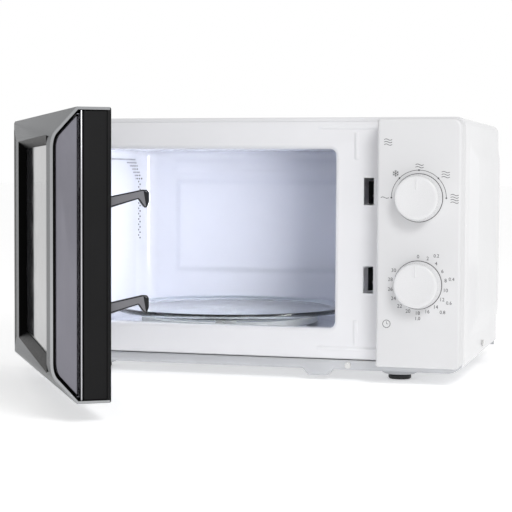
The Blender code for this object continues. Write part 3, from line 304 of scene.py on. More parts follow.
FINISHES = {
    # Painted shade: the front plate's white paint made darker and duller for the casing, so that its lit sides
    # read dimmer.
    "casing_painted_shade_white": finish(
        "casing_painted_shade_white", (0.755, 0.755, 0.77), 0.16, grain=0.6, depth=0.001, vary=0.012, gloss=0.02,
        shine=0.15
    ),
    "powder_white": finish(
        "powder_white", (0.79, 0.79, 0.81), 0.20, grain=0.6, depth=0.001, vary=0.012, gloss=0.02
    ),
    "enamel": finish("enamel", (0.74, 0.76, 0.84), 0.20, grain=2.2, depth=0.002, vary=0.015, coat=0.3),
    "panel_white": finish("panel_white", (0.69, 0.69, 0.70), 0.34, grain=0.5, depth=0.002, vary=0.01),
    "knob_white": finish("knob_white", (0.715, 0.715, 0.725), 0.28, grain=0.4, depth=0.002, vary=0.01),
    "base_grey": finish("base_grey", (0.55, 0.56, 0.58), 0.38, 0.5, grain=1.2, depth=0.004, vary=0.05),
    "rubber": finish("rubber", (0.02, 0.02, 0.022), 0.6, grain=0.6, depth=0.02, vary=0.2),
    "door_silver": metal("door_silver", (0.34, 0.345, 0.355), (0.29, 0.295, 0.30), 0.22),
    # Painted shade: the near-black that stands for the shade in the groove at the door's free edge.
    "groove_painted_shade_black": finish(
        "groove_painted_shade_black", (0.002, 0.002, 0.002), 0.12, grain=3.0, depth=0.001, vary=0.1, gloss=0.03, shine=0.06
    ),
    # This black is the hinge edge strip's own colour, and painted shade on the window recess's walls.
    "black_trim_and_recess_shade": finish(
        "black_trim_and_recess_shade", (0.0012, 0.0012, 0.0012), 0.3, grain=3.0, depth=0.001, vary=0.1, gloss=0.03,
        shine=0.01
    ),
    "matt_black": finish(
        "matt_black", (0.006, 0.006, 0.0065), 0.5, grain=0.45, depth=0.01, vary=0.15, shine=0.14
    ),
    "grip_grey": finish(
        "grip_grey", (0.19, 0.186, 0.215), 0.18, 0.4, grain=2.5, depth=0.001, vary=0.05, shine=0.4
    ),
    "strip_silver": metal("strip_silver", (0.50, 0.50, 0.52), (0.6, 0.6, 0.6), 0.3),
    "hook_grey": finish("hook_grey", (0.17, 0.17, 0.185), 0.45, grain=0.6, depth=0.008, vary=0.06, shine=0.3),
    # Painted shade: the near-black laid on the hooks' edges and tip chamfers as their shade.
    "hook_painted_shade": finish("hook_painted_shade", (0.01, 0.01, 0.012), 0.4, grain=0.6, depth=0.008, vary=0.1, shine=0.2),
    "zinc": finish("zinc", (0.68, 0.68, 0.67), 0.32, 1.0, grain=0.8, depth=0.004, vary=0.08, gloss=0.12),
    "aluminium": finish(
        "aluminium", (0.72, 0.73, 0.75), 0.36, 1.0, grain=0.6, depth=0.01, stretch=(1, 12, 1)
    ),
    "laminations": finish(
        "laminations", (0.10, 0.10, 0.11), 0.5, 0.6, grain=0.5, depth=0.06, stretch=(1, 30, 1)
    ),
    "copper": finish("copper", (0.48, 0.20, 0.08), 0.32, 0.9, grain=0.7, depth=0.08, stretch=(1, 1, 20)),
    "mica": finish("mica", (0.48, 0.40, 0.28), 0.5, grain=3.0, depth=0.03, vary=0.18, gloss=0.12),
    "ceramic": finish("ceramic", (0.80, 0.77, 0.70), 0.55, grain=0.8, depth=0.02),
    "white_nylon": finish("white_nylon", (0.78, 0.78, 0.77), 0.40, grain=0.7, depth=0.01),
    # This grey is the panel's real ink, and also painted shade in the ring behind each dial.
    "print_and_gap_shade_grey": finish("print_and_gap_shade_grey", (0.035, 0.035, 0.04), 0.5, grain=0.6, depth=0.002),
    # Painted shade: the dark of the steam holes, drawn as discs on the wall.
    "hole_painted_shade": finish("hole_painted_shade", (0.06, 0.06, 0.075), 0.6, grain=0.6, depth=0.002),
}
print("finishes", len(FINISHES))

# %% [markdown]
# Glass needs its own shaders. The tray is clear with a faint green body, and the door's pane is a dark tinted
# sheet that looks black straight on and mirrors the room at a low angle.


# %% Glass
def clear_glass(name, colour, roughness):
    """Glass that light passes through."""
    made = finish(name, colour, roughness, grain=8.0, depth=0.004, vary=0.01, gloss=0.015)
    shader_of(made).inputs["Transmission Weight"].default_value = 1.0
    shader_of(made).inputs["IOR"].default_value = 1.47
    return made


FINISHES["tray_glass"] = clear_glass("tray_glass", (0.93, 0.975, 0.965), 0.03)
FINISHES["lamp_glass"] = clear_glass("lamp_glass", (0.95, 0.95, 0.93), 0.05)
FINISHES["pane"] = finish(
    "pane", (0.03, 0.03, 0.033), 0.06, grain=20.0, depth=0.001, vary=0.1, gloss=0.02, shine=0.37
)

# %% [markdown]
# The helpers that make pieces. A surface is an array of points in rows and columns; `piece` turns it into a
# mesh of quads, closes it on itself or caps its ends if asked, and puts it on the body that it moves with.


# %% Making a mesh from a grid of points
def quads(rows, columns, wrap_rows, wrap_columns):
    """The corner numbers of every quad in a grid, as one array."""
    down = np.arange(rows if wrap_rows else rows - 1)
    along = np.arange(columns if wrap_columns else columns - 1)
    r, c = (grid.ravel() for grid in np.meshgrid(down, along, indexing="ij"))
    r2, c2 = (r + 1) % rows, (c + 1) % columns
    return np.stack([r * columns + c, r * columns + c2, r2 * columns + c2, r2 * columns + c], axis=1)


def new_object(name, points, faces, finish_name, body):
    """An object at the origin from points in metres, on a body, with a finish."""
    mesh = bpy.data.meshes.new(name)
    mesh.from_pydata(points.tolist(), [], faces)
    mesh.materials.append(FINISHES[finish_name])
    made = bpy.data.objects.new(name, mesh)
    bpy.context.scene.collection.objects.link(made)
    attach(made, body)
    return made


def tidy_mesh(mesh, outward=True, merge=1e-6):
    """Merges doubles and, on a closed mesh, turns every face outwards."""
    work = bmesh.new()
    work.from_mesh(mesh)
    bmesh.ops.remove_doubles(work, verts=work.verts, dist=merge)
    bmesh.ops.dissolve_degenerate(work, edges=work.edges, dist=merge)
    if outward:
        bmesh.ops.recalc_face_normals(work, faces=work.faces)
    work.to_mesh(mesh)
    work.free()


def shade(made, sharp=35.0):
    """Smooth shading that stays crisp at edges over an angle."""
    made.data.shade_smooth()
    made.data.set_sharp_from_angle(angle=math.radians(sharp))


def piece(
    name, grid, finish_name, body="oven", space=oven_space, wrap=(False, False), caps=(), sharp=35.0
):
    """A piece from a grid of points in millimetres; caps names the rows (0 or -1) closed by one face."""
    grid = np.asarray(grid, float)
    rows, columns = grid.shape[:2]
    faces = quads(rows, columns, *wrap).tolist()
    for row in caps:
        first = (rows - 1) * columns if row else 0
        faces.append(list(range(first, first + columns)))
    made = new_object(name, space(grid.reshape(-1, 3)), faces, finish_name, body)
    closed = all(wrap) or (wrap[1] and len(caps) == 2) or (wrap[0] and len(caps) == 2)
    tidy_mesh(made.data, outward=closed)
    shade(made, sharp)
    return made


def thicken(made, thickness, offset=-1.0, even=True):
    """Gives a sheet its thickness in millimetres, inwards from its face by default."""
    step = made.modifiers.new("thickness", "SOLIDIFY")
    step.thickness = thickness * MM
    step.offset = offset
    step.use_even_offset = even


def soften(made, width, segments=2, angle=35.0):
    """Rounds the edges over an angle by a width in millimetres."""
    step = made.modifiers.new("edges", "BEVEL")
    step.width = width * MM
    step.segments = segments
    step.limit_method = "ANGLE"
    step.angle_limit = math.radians(angle)
    step.harden_normals = False
    step.use_clamp_overlap = True


def carve(made, cutters, space=oven_space):
    """Cuts closed grids of points from a piece and keeps the result as its mesh."""
    tools = []
    for points, faces in cutters:
        mesh = bpy.data.meshes.new("cutter")
        mesh.from_pydata(space(points).tolist(), [], faces)
        tidy_mesh(mesh)
        tool = bpy.data.objects.new("cutter", mesh)
        bpy.context.scene.collection.objects.link(tool)
        step = made.modifiers.new("cut", "BOOLEAN")
        step.object = tool
        step.solver = "EXACT"
        tools.append(tool)
    bpy.context.view_layer.update()
    shape = made.evaluated_get(bpy.context.evaluated_depsgraph_get())
    old = made.data
    made.data = bpy.data.meshes.new_from_object(shape)
    made.modifiers.clear()
    for tool in tools:
        bpy.data.objects.remove(tool)
    bpy.data.meshes.remove(old)
    made.data.name = made.name


def block(low, high):
    """A box for cutting, as points and faces."""
    x, y, z = (np.array(pair, float) for pair in zip(low, high))
    points = np.stack([grid.ravel() for grid in np.meshgrid(x, y, z, indexing="ij")], axis=1)
    return points, [(0, 1, 3, 2), (4, 6, 7, 5), (0, 4, 5, 1), (2, 3, 7, 6), (0, 2, 6, 4), (1, 5, 7, 3)]


def barrel(radius, centre, along, start, end, steps=32):
    """A round bar for cutting, as points and faces."""
    angle = np.linspace(0, 2 * np.pi, steps, endpoint=False)
    ring = [radius * np.cos(angle), radius * np.sin(angle)]
    ends = []
    for t in (start, end):
        columns = [ring[0] + centre[0], ring[1] + centre[1], np.full(steps, float(t))]
        order = {"Z": (0, 1, 2), "Y": (0, 2, 1), "X": (2, 0, 1)}[along]
        ends.append(np.stack([columns[k] for k in order], axis=1))
    faces = quads(2, steps, False, True).tolist() + [list(range(steps)), list(range(steps, 2 * steps))]
    return np.concatenate(ends), faces


# %% [markdown]
# Three shapes come back again and again: a rectangle with rounded corners, a turned profile, and a stack of
# outlines. Each is a formula, so that every outline of a stack has its points in the same order.


# %% Outlines and turned shapes
def rounded_rectangle(low, high, radii, corner_steps=8, side_steps=1):
    """Points round a rectangle: four quarter circles, from the lower left corner anticlockwise, and the
    sides."""
    radii = np.broadcast_to(np.asarray(radii, float), 4)
    (x0, y0), (x1, y1) = low, high
    centres = [(x0, y0, 1, 1), (x1, y0, -1, 1), (x1, y1, -1, -1), (x0, y1, 1, -1)]
    points = []
    for k, (x, y, side, rise) in enumerate(centres):
        angle = np.radians(180 + 90 * k) + np.linspace(0, np.pi / 2, corner_steps + 1)
        middle = (x + side * radii[k], y + rise * radii[k])
        points.append(
            np.stack([middle[0] + radii[k] * np.cos(angle), middle[1] + radii[k] * np.sin(angle)], axis=1)
        )
    ring = []
    for k in range(4):
        start, end = points[k][-1], points[(k + 1) % 4][0]
        share = np.linspace(0, 1, side_steps + 1)[1:-1, None] if side_steps > 1 else np.zeros((0, 1))
        ring += [points[k], start + (end - start) * share]
    return np.concatenate(ring)


def turned(profile, centre, along="Z", steps=64, start=0.0):
    """A grid of (radius, distance) points carried round an axis."""
    profile = np.asarray(profile, float)
    angle = np.linspace(0, 2 * np.pi, steps, endpoint=False) + start
    across = profile[:, :1] * np.cos(angle)
    up = profile[:, :1] * np.sin(angle)
    far = np.repeat(profile[:, 1:], steps, axis=1)
    columns = {"Z": (across, up, far), "Y": (across, far, up), "X": (far, across, up)}[along]
    return np.stack(columns, axis=-1) + np.asarray(centre, float)


def quarter(centre, radius, start, end, steps=6):
    """Points on an arc between two angles in degrees."""
    angle = np.radians(np.linspace(start, end, steps + 1))
    return np.stack([centre[0] + radius * np.cos(angle), centre[1] + radius * np.sin(angle)], axis=1)


def ramp(value):
    """A ramp from 0 to 1 with short rounded ends."""
    value = np.clip(value, 0, 1)
    return 0.25 * value + 0.75 * value * value * (3 - 2 * value)


def even_ramp(value, round_share=0.12):
    """A straight ramp from 0 to 1 whose ends are rounded over a small share of it."""
    value = np.clip(value, 0, 1)
    blend = np.clip(np.minimum(value, 1 - value) / round_share, 0, 1)
    soft = np.where(value < 0.5, blend**2 * round_share / 2, 1 - blend**2 * round_share / 2)
    low, high = round_share / 2, 1 - round_share / 2
    inner = low + (value - round_share) / (1 - 2 * round_share) * (high - low)
    return np.where(blend < 1, soft, inner)


# %% [markdown]
# The casing is one sheet folded over the top and down both sides. Its surface is the arch outline
# carried from
# the front to the back: the first rows turn the front edge round into the lip that frames the front plate.
# A raised field is pressed into each side and a shallow one into the top, as a height over the sheet with
# straight bevels that meet in mitres.

# %% Casing sizes
casing_low, casing_high = oven_box("outer_casing")
frame_low, frame_high = oven_box("front_frame")
HALF_WIDTH = -casing_low[0]
CASING_TOP = casing_high[2] - 0.8
CASING_BOTTOM = casing_low[2]
CASING_BACK = casing_high[1]
CASING_CORNER = 9.0
LIP = 3.8
FIELD_RISE = 2.3


def side_field(y, z):
    """Height of the raised field on a side: the least of its edges' ramps, so its bevels meet in mitres."""
    front, back, bottom, top = 24.0, CASING_BACK + 12.0, 40.0, 226.0
    corner = ((y - front) + (top - z)) * 0.7 - 7.0
    lower = ((y - front) + (z - bottom)) * 0.7 - 7.0
    edges = [(y - front) / 60, (back - y) / 16, (z - bottom) / 17, (top - z) / 17, corner / 30, lower / 30]
    return FIELD_RISE * even_ramp(np.min(edges, axis=0))


def top_field(x, y):
    """Height of the shallow field on the top."""
    reach = 197.0
    edges = [(x + reach) / 10, (reach - x) / 10, (y - 14) / 10, (CASING_BACK - 12 - y) / 10]
    return 0.8 * ramp(np.min(edges, axis=0))


# %% [markdown]
# The sheet itself has no thickness at first. It gets one by Solidify, and the vents are then cut through it.


# %% Casing
def arch(inset, side_count=60, top_count=90):
    """The arch outline at an inset: up the left side, over the top, down the right side."""
    side, top, corner = HALF_WIDTH - inset, CASING_TOP - inset, CASING_CORNER - inset
    rise = np.linspace(CASING_BOTTOM, top - corner, side_count, endpoint=False)
    left = np.stack([np.full(side_count, -side), rise], axis=1)
    turn_up = quarter((-side + corner, top - corner), corner, 180, 90, 8)
    across = np.linspace(-side + corner, side - corner, top_count)[1:-1]
    over = np.stack([across, np.full(len(across), top)], axis=1)
    turn_down = quarter((side - corner, top - corner), corner, 90, 0, 8)
    right = np.stack([np.full(side_count, side), rise[::-1]], axis=1)
    return np.concatenate([left, turn_up, over, turn_down, right])


def casing_grid():
    """Rows of the arch: the lip, the rounded front edge, then back along the sheet with its fields."""
    edge = 2.0
    around = quarter((edge, edge), edge, 270, 180, 6)
    insets = [LIP, *around[:, 0]]
    depths = [0.0, *around[:, 1]]
    length = np.linspace(edge, CASING_BACK, 90)[1:]
    insets += [0.0] * len(length)
    depths += length.tolist()
    rows = []
    for inset, depth in zip(insets, depths):
        outline = arch(inset)
        rows.append(np.stack([outline[:, 0], np.full(len(outline), depth), outline[:, 1]], axis=1))
    grid = np.array(rows)
    x, y, z = grid[..., 0], grid[..., 1], grid[..., 2]
    on_side = np.abs(np.abs(x) - HALF_WIDTH) < 0.01
    on_top = np.abs(z - CASING_TOP) < 0.01
    grid[..., 0] += np.where(on_side, np.sign(x) * side_field(y, z), 0)
    grid[..., 2] += np.where(on_top, top_field(x, y), 0)
    return grid


# The casing takes the darkened copy of the white paint, as painted shade on its sides.
casing = piece("casing_wrap", casing_grid(), "casing_painted_shade_white", sharp=40)
thicken(casing, 1.0)
vents = [block((-HALF_WIDTH - 9, 150 + 12 * k, 150), (-HALF_WIDTH + 9, 155 + 12 * k, 200)) for k in range(6)]
carve(casing, vents)
shade(casing, 40)
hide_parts("outer_casing")
print("casing", len(casing.data.polygons), "faces")

# %% [markdown]
# The front plate is pressed steel. Rings run outwards from the opening: the flange that turns back into the
# cavity, the rounded bead round the opening, the flat plate, and the edge that folds back at the outside.
# Each ring has as many points as the last, so the whole plate is one surface; its slots are then cut out.

# %% Front plate
OPENING_LOW = (-187.0, 49.8)
OPENING_HIGH = (96.9, 220.1)
OPENING_CORNER = 6.0
PANEL_LEFT = oven_box("control_panel")[0][0]


def plate_grid():
    """Rings round the opening at a distance from its edge and a depth, then out to the plate's own edge."""
    inner = [
        (0.0, 11.0), (0.0, 3.2), (0.15, 1.9), (0.7, 0.7), (1.6, -0.05), (2.6, -0.4), (3.6, -0.45),
        (4.6, -0.3), (5.6, 0.0)
    ]
    rings = []
    for out, depth in inner:
        low = (OPENING_LOW[0] - out, OPENING_LOW[1] - out)
        high = (OPENING_HIGH[0] + out, OPENING_HIGH[1] + out)
        ring = rounded_rectangle(low, high, OPENING_CORNER + out, 10, 30)
        rings.append(np.insert(ring, 1, depth, axis=1))
    edge = 1.6
    for shrink, depth in [
        (edge, 0.0), (edge * 0.5, edge * 0.13), (edge * 0.13, edge * 0.5), (0.0, edge), (0.0, 12.0)
    ]:
        low = (frame_low[0] + shrink, frame_low[2] + shrink)
        high = (frame_high[0] - shrink, frame_high[2] - shrink)
        ring = rounded_rectangle(low, high, [1, 1, 5, 5], 10, 30)
        rings.append(np.insert(ring, 1, depth, axis=1))
    return np.array(rings)


SLOT_LEFT, SLOT_RIGHT = PANEL_LEFT - 17.5, PANEL_LEFT - 7.9
SLOTS = ((84.0, 109.6), (167.4, 193.0))
TAB_BELOW_TOP = 8.5  # from the top of a hinge bracket down to the underside of its tab
plate = piece("front_plate", plate_grid(), "powder_white", wrap=(False, True), sharp=40)
thicken(plate, 0.9, 1.0)
control_window = block((PANEL_LEFT + 7, -5, 40), (frame_high[0] - 6, 6, 226))
slots = [block((SLOT_LEFT, -5, low), (SLOT_RIGHT, 6, high)) for low, high in SLOTS]
tabs = []
for name in ("hinge_bracket_upper", "hinge_bracket_lower"):
    low, high = oven_box(name)
    bottom = high[2] - TAB_BELOW_TOP
    tabs.append(block((low[0] - 1.5, -5, bottom - 0.8), (high[0] + 1.5, 6, bottom + 3.3)))
carve(plate, [control_window, *slots, *tabs])
shade(plate, 40)
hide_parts("front_frame")
print("front plate", len(plate.data.polygons), "faces")

# %% [markdown]
# Ribs stiffen the plate at its right corners: a bead along the top and one along the foot, both ending
# under the
# panel, and an upright bar next to each. Each is a rounded ridge carried along a path on the plate.


# %% Ribs on the plate
def ridge(name, path, width, height):
    """A ridge along a path of (x, z) points: its section is a raised cosine, sunk a little into the plate."""
    path = np.asarray(path, float)
    along = np.gradient(path, axis=0)
    along /= np.linalg.norm(along, axis=1, keepdims=True)
    across = np.stack([-along[:, 1], along[:, 0]], axis=1)
    share = np.linspace(-1, 1, 15)
    round_off = np.sqrt(1 - np.linspace(-1, 1, len(path)) ** 12)
    lift = (0.5 * (1 + np.cos(np.pi * share)) ** 0.7 * height)[None, :] * round_off[:, None] - 0.06
    flat = path[:, None, :] + across[:, None, :] * share[:, None] * width / 2
    depth = np.broadcast_to(-lift, flat.shape[:2])
    grid = np.stack([flat[..., 0], depth, flat[..., 1]], axis=-1)
    return piece(name, grid, "powder_white")


def smooth_path(points, count=60):
    """A smooth path through a few points, by a Catmull-Rom curve."""
    points = np.asarray(points, float)
    padded = np.concatenate([2 * points[:1] - points[1:2], points, 2 * points[-1:] - points[-2:-1]])
    place = np.linspace(0, len(points) - 1, count)
    first = np.minimum(place.astype(int), len(points) - 2)
    t = (place - first)[:, None]
    a, b, c, d = (padded[first + k] for k in range(4))
    return 0.5 * (2 * b + (c - a) * t + (2 * a - 5 * b + 4 * c - d) * t**2 + (3 * b - a - 3 * c + d) * t**3)


def straight(start, end, count=40):
    """Evenly spaced points on a straight line."""
    return np.asarray(start, float) + np.linspace(0, 1, count)[:, None] * (np.asarray(end, float) - start)


RIB_LEFT, BAR_X = OPENING_HIGH[0] - 17.0, OPENING_HIGH[0] + 20.4
ridge("plate_rib_top", straight((RIB_LEFT, 240.3), (PANEL_LEFT + 2, 240.3)), 5.0, 1.1)
ridge("plate_rib_low", straight((RIB_LEFT, 30.6), (PANEL_LEFT + 2, 30.6)), 5.0, 1.1)
ridge("plate_bar_top", straight((BAR_X, 210.0), (BAR_X, 236.3)), 5.4, 1.2)
ridge("plate_bar_low", straight((BAR_X, 34.5), (BAR_X, 58.5)), 5.4, 1.2)

# %% [markdown]
# The cavity is drawn from stainless or enamelled sheet with rounded corners at the back. Its plan is a U with
# two quarter circles. Over the height, the U stands still at the walls and draws in by a fillet towards the
# floor and the ceiling; each floor row then joins the left half of the U to the right half with straight
# lines.

# %% Cavity
cavity_low, cavity_high = oven_box("cavity_liner")
CAVITY_SHEET = 1.0
CAVITY_LEFT, CAVITY_RIGHT = cavity_low[0] + CAVITY_SHEET, cavity_high[0] - CAVITY_SHEET
CAVITY_FLOOR, CAVITY_TOP = cavity_low[2] + CAVITY_SHEET, cavity_high[2] - CAVITY_SHEET
CAVITY_FRONT, CAVITY_BACK = cavity_low[1], cavity_high[1] - CAVITY_SHEET
CAVITY_CORNER = 22.0
CAVITY_FILLET = 7.0
FLOOR_STEP = 0.6
TRACK_RADIUS = 109.0


def cavity_plan(inset, wall_count=50, back_count=120):
    """The U from the front left to the front right, at an inset from the walls."""
    left, right, back = CAVITY_LEFT + inset, CAVITY_RIGHT - inset, CAVITY_BACK - inset
    corner = CAVITY_CORNER - inset
    deep = np.linspace(CAVITY_FRONT, back - corner, wall_count, endpoint=False)
    first = np.stack([np.full(wall_count, left), deep], axis=1)
    turn_in = quarter((left + corner, back - corner), corner, 180, 90, 12)
    across = np.linspace(left + corner, right - corner, back_count)[1:-1]
    over = np.stack([across, np.full(len(across), back)], axis=1)
    turn_out = quarter((right - corner, back - corner), corner, 90, 0, 12)
    last = np.stack([np.full(wall_count, right), deep[::-1]], axis=1)
    return np.concatenate([first, turn_in, over, turn_out, last])


def back_field(x, z):
    """Pressed fields in the back wall: a wide band below, and a narrow one above it, both proud by about
    2 mm."""
    lower = [(x + 147) / 7, (78 - x) / 7, (z - 84) / 7, (191 - z) / 7]
    upper = [(x + 150) / 6, (82 - x) / 6, (z - 198) / 5, (213 - z) / 4]
    return 2.2 * ramp(np.min(lower, axis=0)) + 1.0 * ramp(np.min(upper, axis=0))


def cavity_grid():
    """Rows up the walls between a floor fillet and a ceiling fillet, the back wall pushed in by its
    fields."""
    low_turn = quarter((CAVITY_FILLET, CAVITY_FLOOR + CAVITY_FILLET), CAVITY_FILLET, 270, 180, 7)
    high_turn = quarter((CAVITY_FILLET, CAVITY_TOP - CAVITY_FILLET), CAVITY_FILLET, 180, 90, 7)
    walls = np.linspace(CAVITY_FLOOR + CAVITY_FILLET, CAVITY_TOP - CAVITY_FILLET, 90)[1:-1]
    profile = np.concatenate([low_turn, np.stack([np.zeros(len(walls)), walls], axis=1), high_turn])
    grid = np.array([np.insert(cavity_plan(inset), 2, height, axis=1) for inset, height in profile])
    x, y, z = grid[..., 0], grid[..., 1], grid[..., 2]
    on_back = np.abs(y - CAVITY_BACK) < 0.01
    grid[..., 1] -= np.where(on_back, back_field(x, z), 0)
    return grid


def half_fill(row, share_count=70):
    """A flat sheet between the two sides of a U-shaped row of points, up to where its back begins."""
    side_count = 63
    left, right = row[:side_count], row[::-1][:side_count]
    share = np.linspace(0, 1, share_count)[:, None, None]
    return left[None] * (1 - share) + right[None] * share


def floor_relief(grid):
    """A round, shallow step in the floor under the roller track."""
    away = np.hypot(grid[..., 0] - TRAY_X, grid[..., 1] - TRAY_Y)
    grid[..., 2] -= FLOOR_STEP * ramp((away - TRACK_RADIUS) / 3)
    return grid


tray_low, tray_high = oven_box("turntable")
TRAY_X, TRAY_Y = (tray_low[:2] + tray_high[:2]) / 2
walls = cavity_grid()
liner = piece("cavity_walls", walls, "enamel", sharp=50)
thicken(liner, 0.8, -1.0)
port = block((CAVITY_RIGHT - 4, 104, 142), (CAVITY_RIGHT + 5, 152, 198))
carve(liner, [port])
shade(liner, 50)
cavity_floor = piece("cavity_floor", floor_relief(half_fill(walls[0])), "enamel", sharp=50)
thicken(cavity_floor, 0.8, -1.0)
carve(cavity_floor, [barrel(9.5, (TRAY_X, TRAY_Y), "Z", CAVITY_FLOOR - 5, CAVITY_FLOOR + 5)])
shade(cavity_floor, 50)
ceiling = piece("cavity_ceiling", half_fill(walls[-1]), "enamel", sharp=50)
thicken(ceiling, 0.8, 1.0)
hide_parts("cavity_liner")
print(
    "cavity",
    [round(float(v), 1) for v in (CAVITY_LEFT, CAVITY_RIGHT, CAVITY_FLOOR, CAVITY_TOP, CAVITY_BACK)]
)

# %% [markdown]
# Steam leaves through small holes punched in the left wall. They stand in rows that follow the wall and then
# step down its rear corner in a narrow column. Each is a tiny disc painted dark as the shade inside the hole,
# placed by its distance along the wall's own plan, so that the rows bend round the corner with it.


# %% Steam holes
def along_wall(distance):
    """Points and inward directions on the left wall's plan at a distance from the front."""
    straight = CAVITY_BACK - CAVITY_CORNER
    angle = np.pi - np.clip((distance - straight) / CAVITY_CORNER, 0, np.pi / 2)
    centre = np.array([CAVITY_LEFT + CAVITY_CORNER, CAVITY_BACK - CAVITY_CORNER])
    on_arc = centre + CAVITY_CORNER * np.stack([np.cos(angle), np.sin(angle)], axis=-1)
    on_wall = np.stack([np.full_like(distance, CAVITY_LEFT), distance], axis=-1)
    bent = (distance > straight)[:, None]
    inward = np.where(bent, -np.stack([np.cos(angle), np.sin(angle)], axis=-1), [1.0, 0.0])
    return np.where(bent, on_arc, on_wall), inward


def hole_places():
    """Distance along the wall and height of every hole: seven rows that shorten, then a staggered column."""
    pitch = 3.6
    starts = (132.0, 204.0, 214.0, 222.0, 225.0, 230.0, 233.0)
    ends = (232.0, 236.0, 239.0, 240.0, 242.0, 244.0, 245.0)
    places = []
    for row, (start, end) in enumerate(zip(starts, ends)):
        spots = np.arange(start, end, pitch)
        places.append(np.stack([spots, np.full(len(spots), 212.0 - pitch * row)], axis=1))
    column = np.arange(22)
    spots = 239.0 + 2.4 * (column % 2)
    places.append(np.stack([spots, 187.0 - pitch * 0.85 * column], axis=1))
    return np.concatenate(places)


def disc_field(centres, inward, radius):
    """Eight-sided discs at many places at once, each a hair proud of the wall."""
    angle = np.linspace(0, 2 * np.pi, 8, endpoint=False)
    sideways = np.stack([-inward[:, 1], inward[:, 0], np.zeros(len(inward))], axis=1)
    up = np.array([0.0, 0.0, 1.0])
    inward3 = np.insert(inward, 2, 0.0, axis=1)
    rim = sideways[:, None] * np.cos(angle)[:, None] * radius + up * np.sin(angle)[:, None] * radius
    return centres[:, None] + rim + inward3[:, None] * 0.12


spots = hole_places()
plan, inward = along_wall(spots[:, 0])
rims = disc_field(np.insert(plan, 2, spots[:, 1], axis=1), inward, 1.05)
hole_faces = np.arange(rims.shape[0] * 8).reshape(-1, 8).tolist()
# Painted shade: the discs stand for the holes, dark as the shade seen into them.
new_object("steam_holes", oven_space(rims.reshape(-1, 3)), hole_faces, "hole_painted_shade", "oven")
print("steam holes", len(hole_faces))

# %% [markdown]
# The control panel is a moulded shell that stands forward of the plate. Its outline has a larger radius
# at the
# outer top corner, and every front edge is rounded, so the stack of outlines draws in along a quarter circle.

# %% Control panel
panel_low, panel_high = oven_box("control_panel")
PANEL_FACE = panel_low[1]
POWER_Z, TIMER_Z = (np.mean([oven_box(name)[k][2] for k in (0, 1)]) for name in ("power_knob", "timer_knob"))
KNOB_X = np.mean([oven_box("power_knob")[k][0] for k in (0, 1)])


def panel_grid():
    """Outlines from the back edge forward, drawn in round a quarter circle at the face."""
    edge = 2.6
    around = quarter((edge, PANEL_FACE + edge), edge, 180, 270, 7)
    stations = [(0.0, panel_high[1]), (0.0, (PANEL_FACE + panel_high[1]) / 2), *around, (7.0, PANEL_FACE)]
    rings = []
    for inset, depth in stations:
        low = (panel_low[0] + inset, panel_low[2] + inset)
        high = (panel_high[0] - inset, panel_high[2] - inset)
        radii = np.maximum(np.array([2.2, 4.5, 9.0, 3.0]) - inset, 0.4)
        rings.append(np.insert(rounded_rectangle(low, high, radii, 8, 12), 1, depth, axis=1))
    return np.array(rings)


panel = piece(
    "panel_shell", panel_grid(), "panel_white", wrap=(False, True), caps=(-1,), sharp=50
)
tidy_mesh(panel.data)
thicken(panel, 2.0)
carve(panel, [barrel(4.4, (KNOB_X, z), "Y", PANEL_FACE - 5, PANEL_FACE + 6) for z in (POWER_Z, TIMER_Z)])
shade(panel, 50)
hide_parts("control_panel")
print(
    "panel face at", round(PANEL_FACE, 2), "dials at", round(KNOB_X, 1), round(POWER_Z, 1),
    round(TIMER_Z, 1)
)

# %% [markdown]
# Each dial is turned: a thin skirt against the panel, a side that narrows slightly, a rounded edge and a flat
# face with a shallow ring. A low bar marks where it points. The bar is its own small piece so that it
# can stand
# proud with soft sides, and it turns with the dial.


# %% Dials
def dial(node_name, body):
    """A turned dial over its CAD node, and the pointer bar on its face."""
    low, high = oven_box(node_name)
    centre = ((low[0] + high[0]) / 2, 0.0, (low[2] + high[2]) / 2)
    radius, front, back = (high[0] - low[0]) / 2 + 0.7, low[1], high[1]
    # Painted shade: a near-black ring just wider than the dial, behind its skirt, for the shade in the gap
    # between dial and panel.
    gap_shade_ring = [
        (radius - 3.0, PANEL_FACE + 0.5), (radius + 0.55, PANEL_FACE + 0.5),
        (radius + 0.55, PANEL_FACE - 0.12), (radius - 3.0, PANEL_FACE - 0.12)
    ]
    piece(
        node_name + "_gap_shade", turned(gap_shade_ring, centre, "Y", 96), "print_and_gap_shade_grey", wrap=(True, True)
    )
    edge = quarter((radius - 3.4, front + 1.7), 1.7, 270, 360, 7)
    side = [(radius - 1.7, front + 3.0), (radius - 0.5, back - 2.2), (radius, back - 1.4), (radius, back)]
    face = [
        (0.0, front + 0.25), (radius - 6.5, front + 0.25), (radius - 5.6, front + 0.05),
        (radius - 4.6, front)
    ]
    base = [(radius - 0.8, back + 0.0), (5.0, back), (5.0, front + 6.0), (0.0, front + 6.0)]
    profile = np.concatenate([face, edge, side, base])
    made = piece(
        node_name + "_cap", turned(profile, centre, "Y", 96), "knob_white", body,
        wrap=(False, True), sharp=40
    )
    tidy_mesh(made.data)
    shade(made, 40)
    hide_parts(node_name)
    reach = np.linspace(7.5, radius - 3.2, 24)
    share = np.linspace(-1, 1, 9)
    lift = np.sqrt(np.maximum(1 - share**4, 0))[None, :] * np.sqrt(
        np.clip(np.minimum(reach - 7.5, radius - 3.2 - reach) / 1.2, 0, 1)
    )[:, None]
    grid = np.stack(
        np.broadcast_arrays(
            centre[0] + share[None, :] * 0.75, front + 0.3 - 0.65 * lift, centre[2] + reach[:, None]
        ),
        axis=-1
    )
    piece(node_name + "_pointer", grid, "knob_white", body)


dial("power_knob", "power_dial")
dial("timer_knob", "timer_dial")

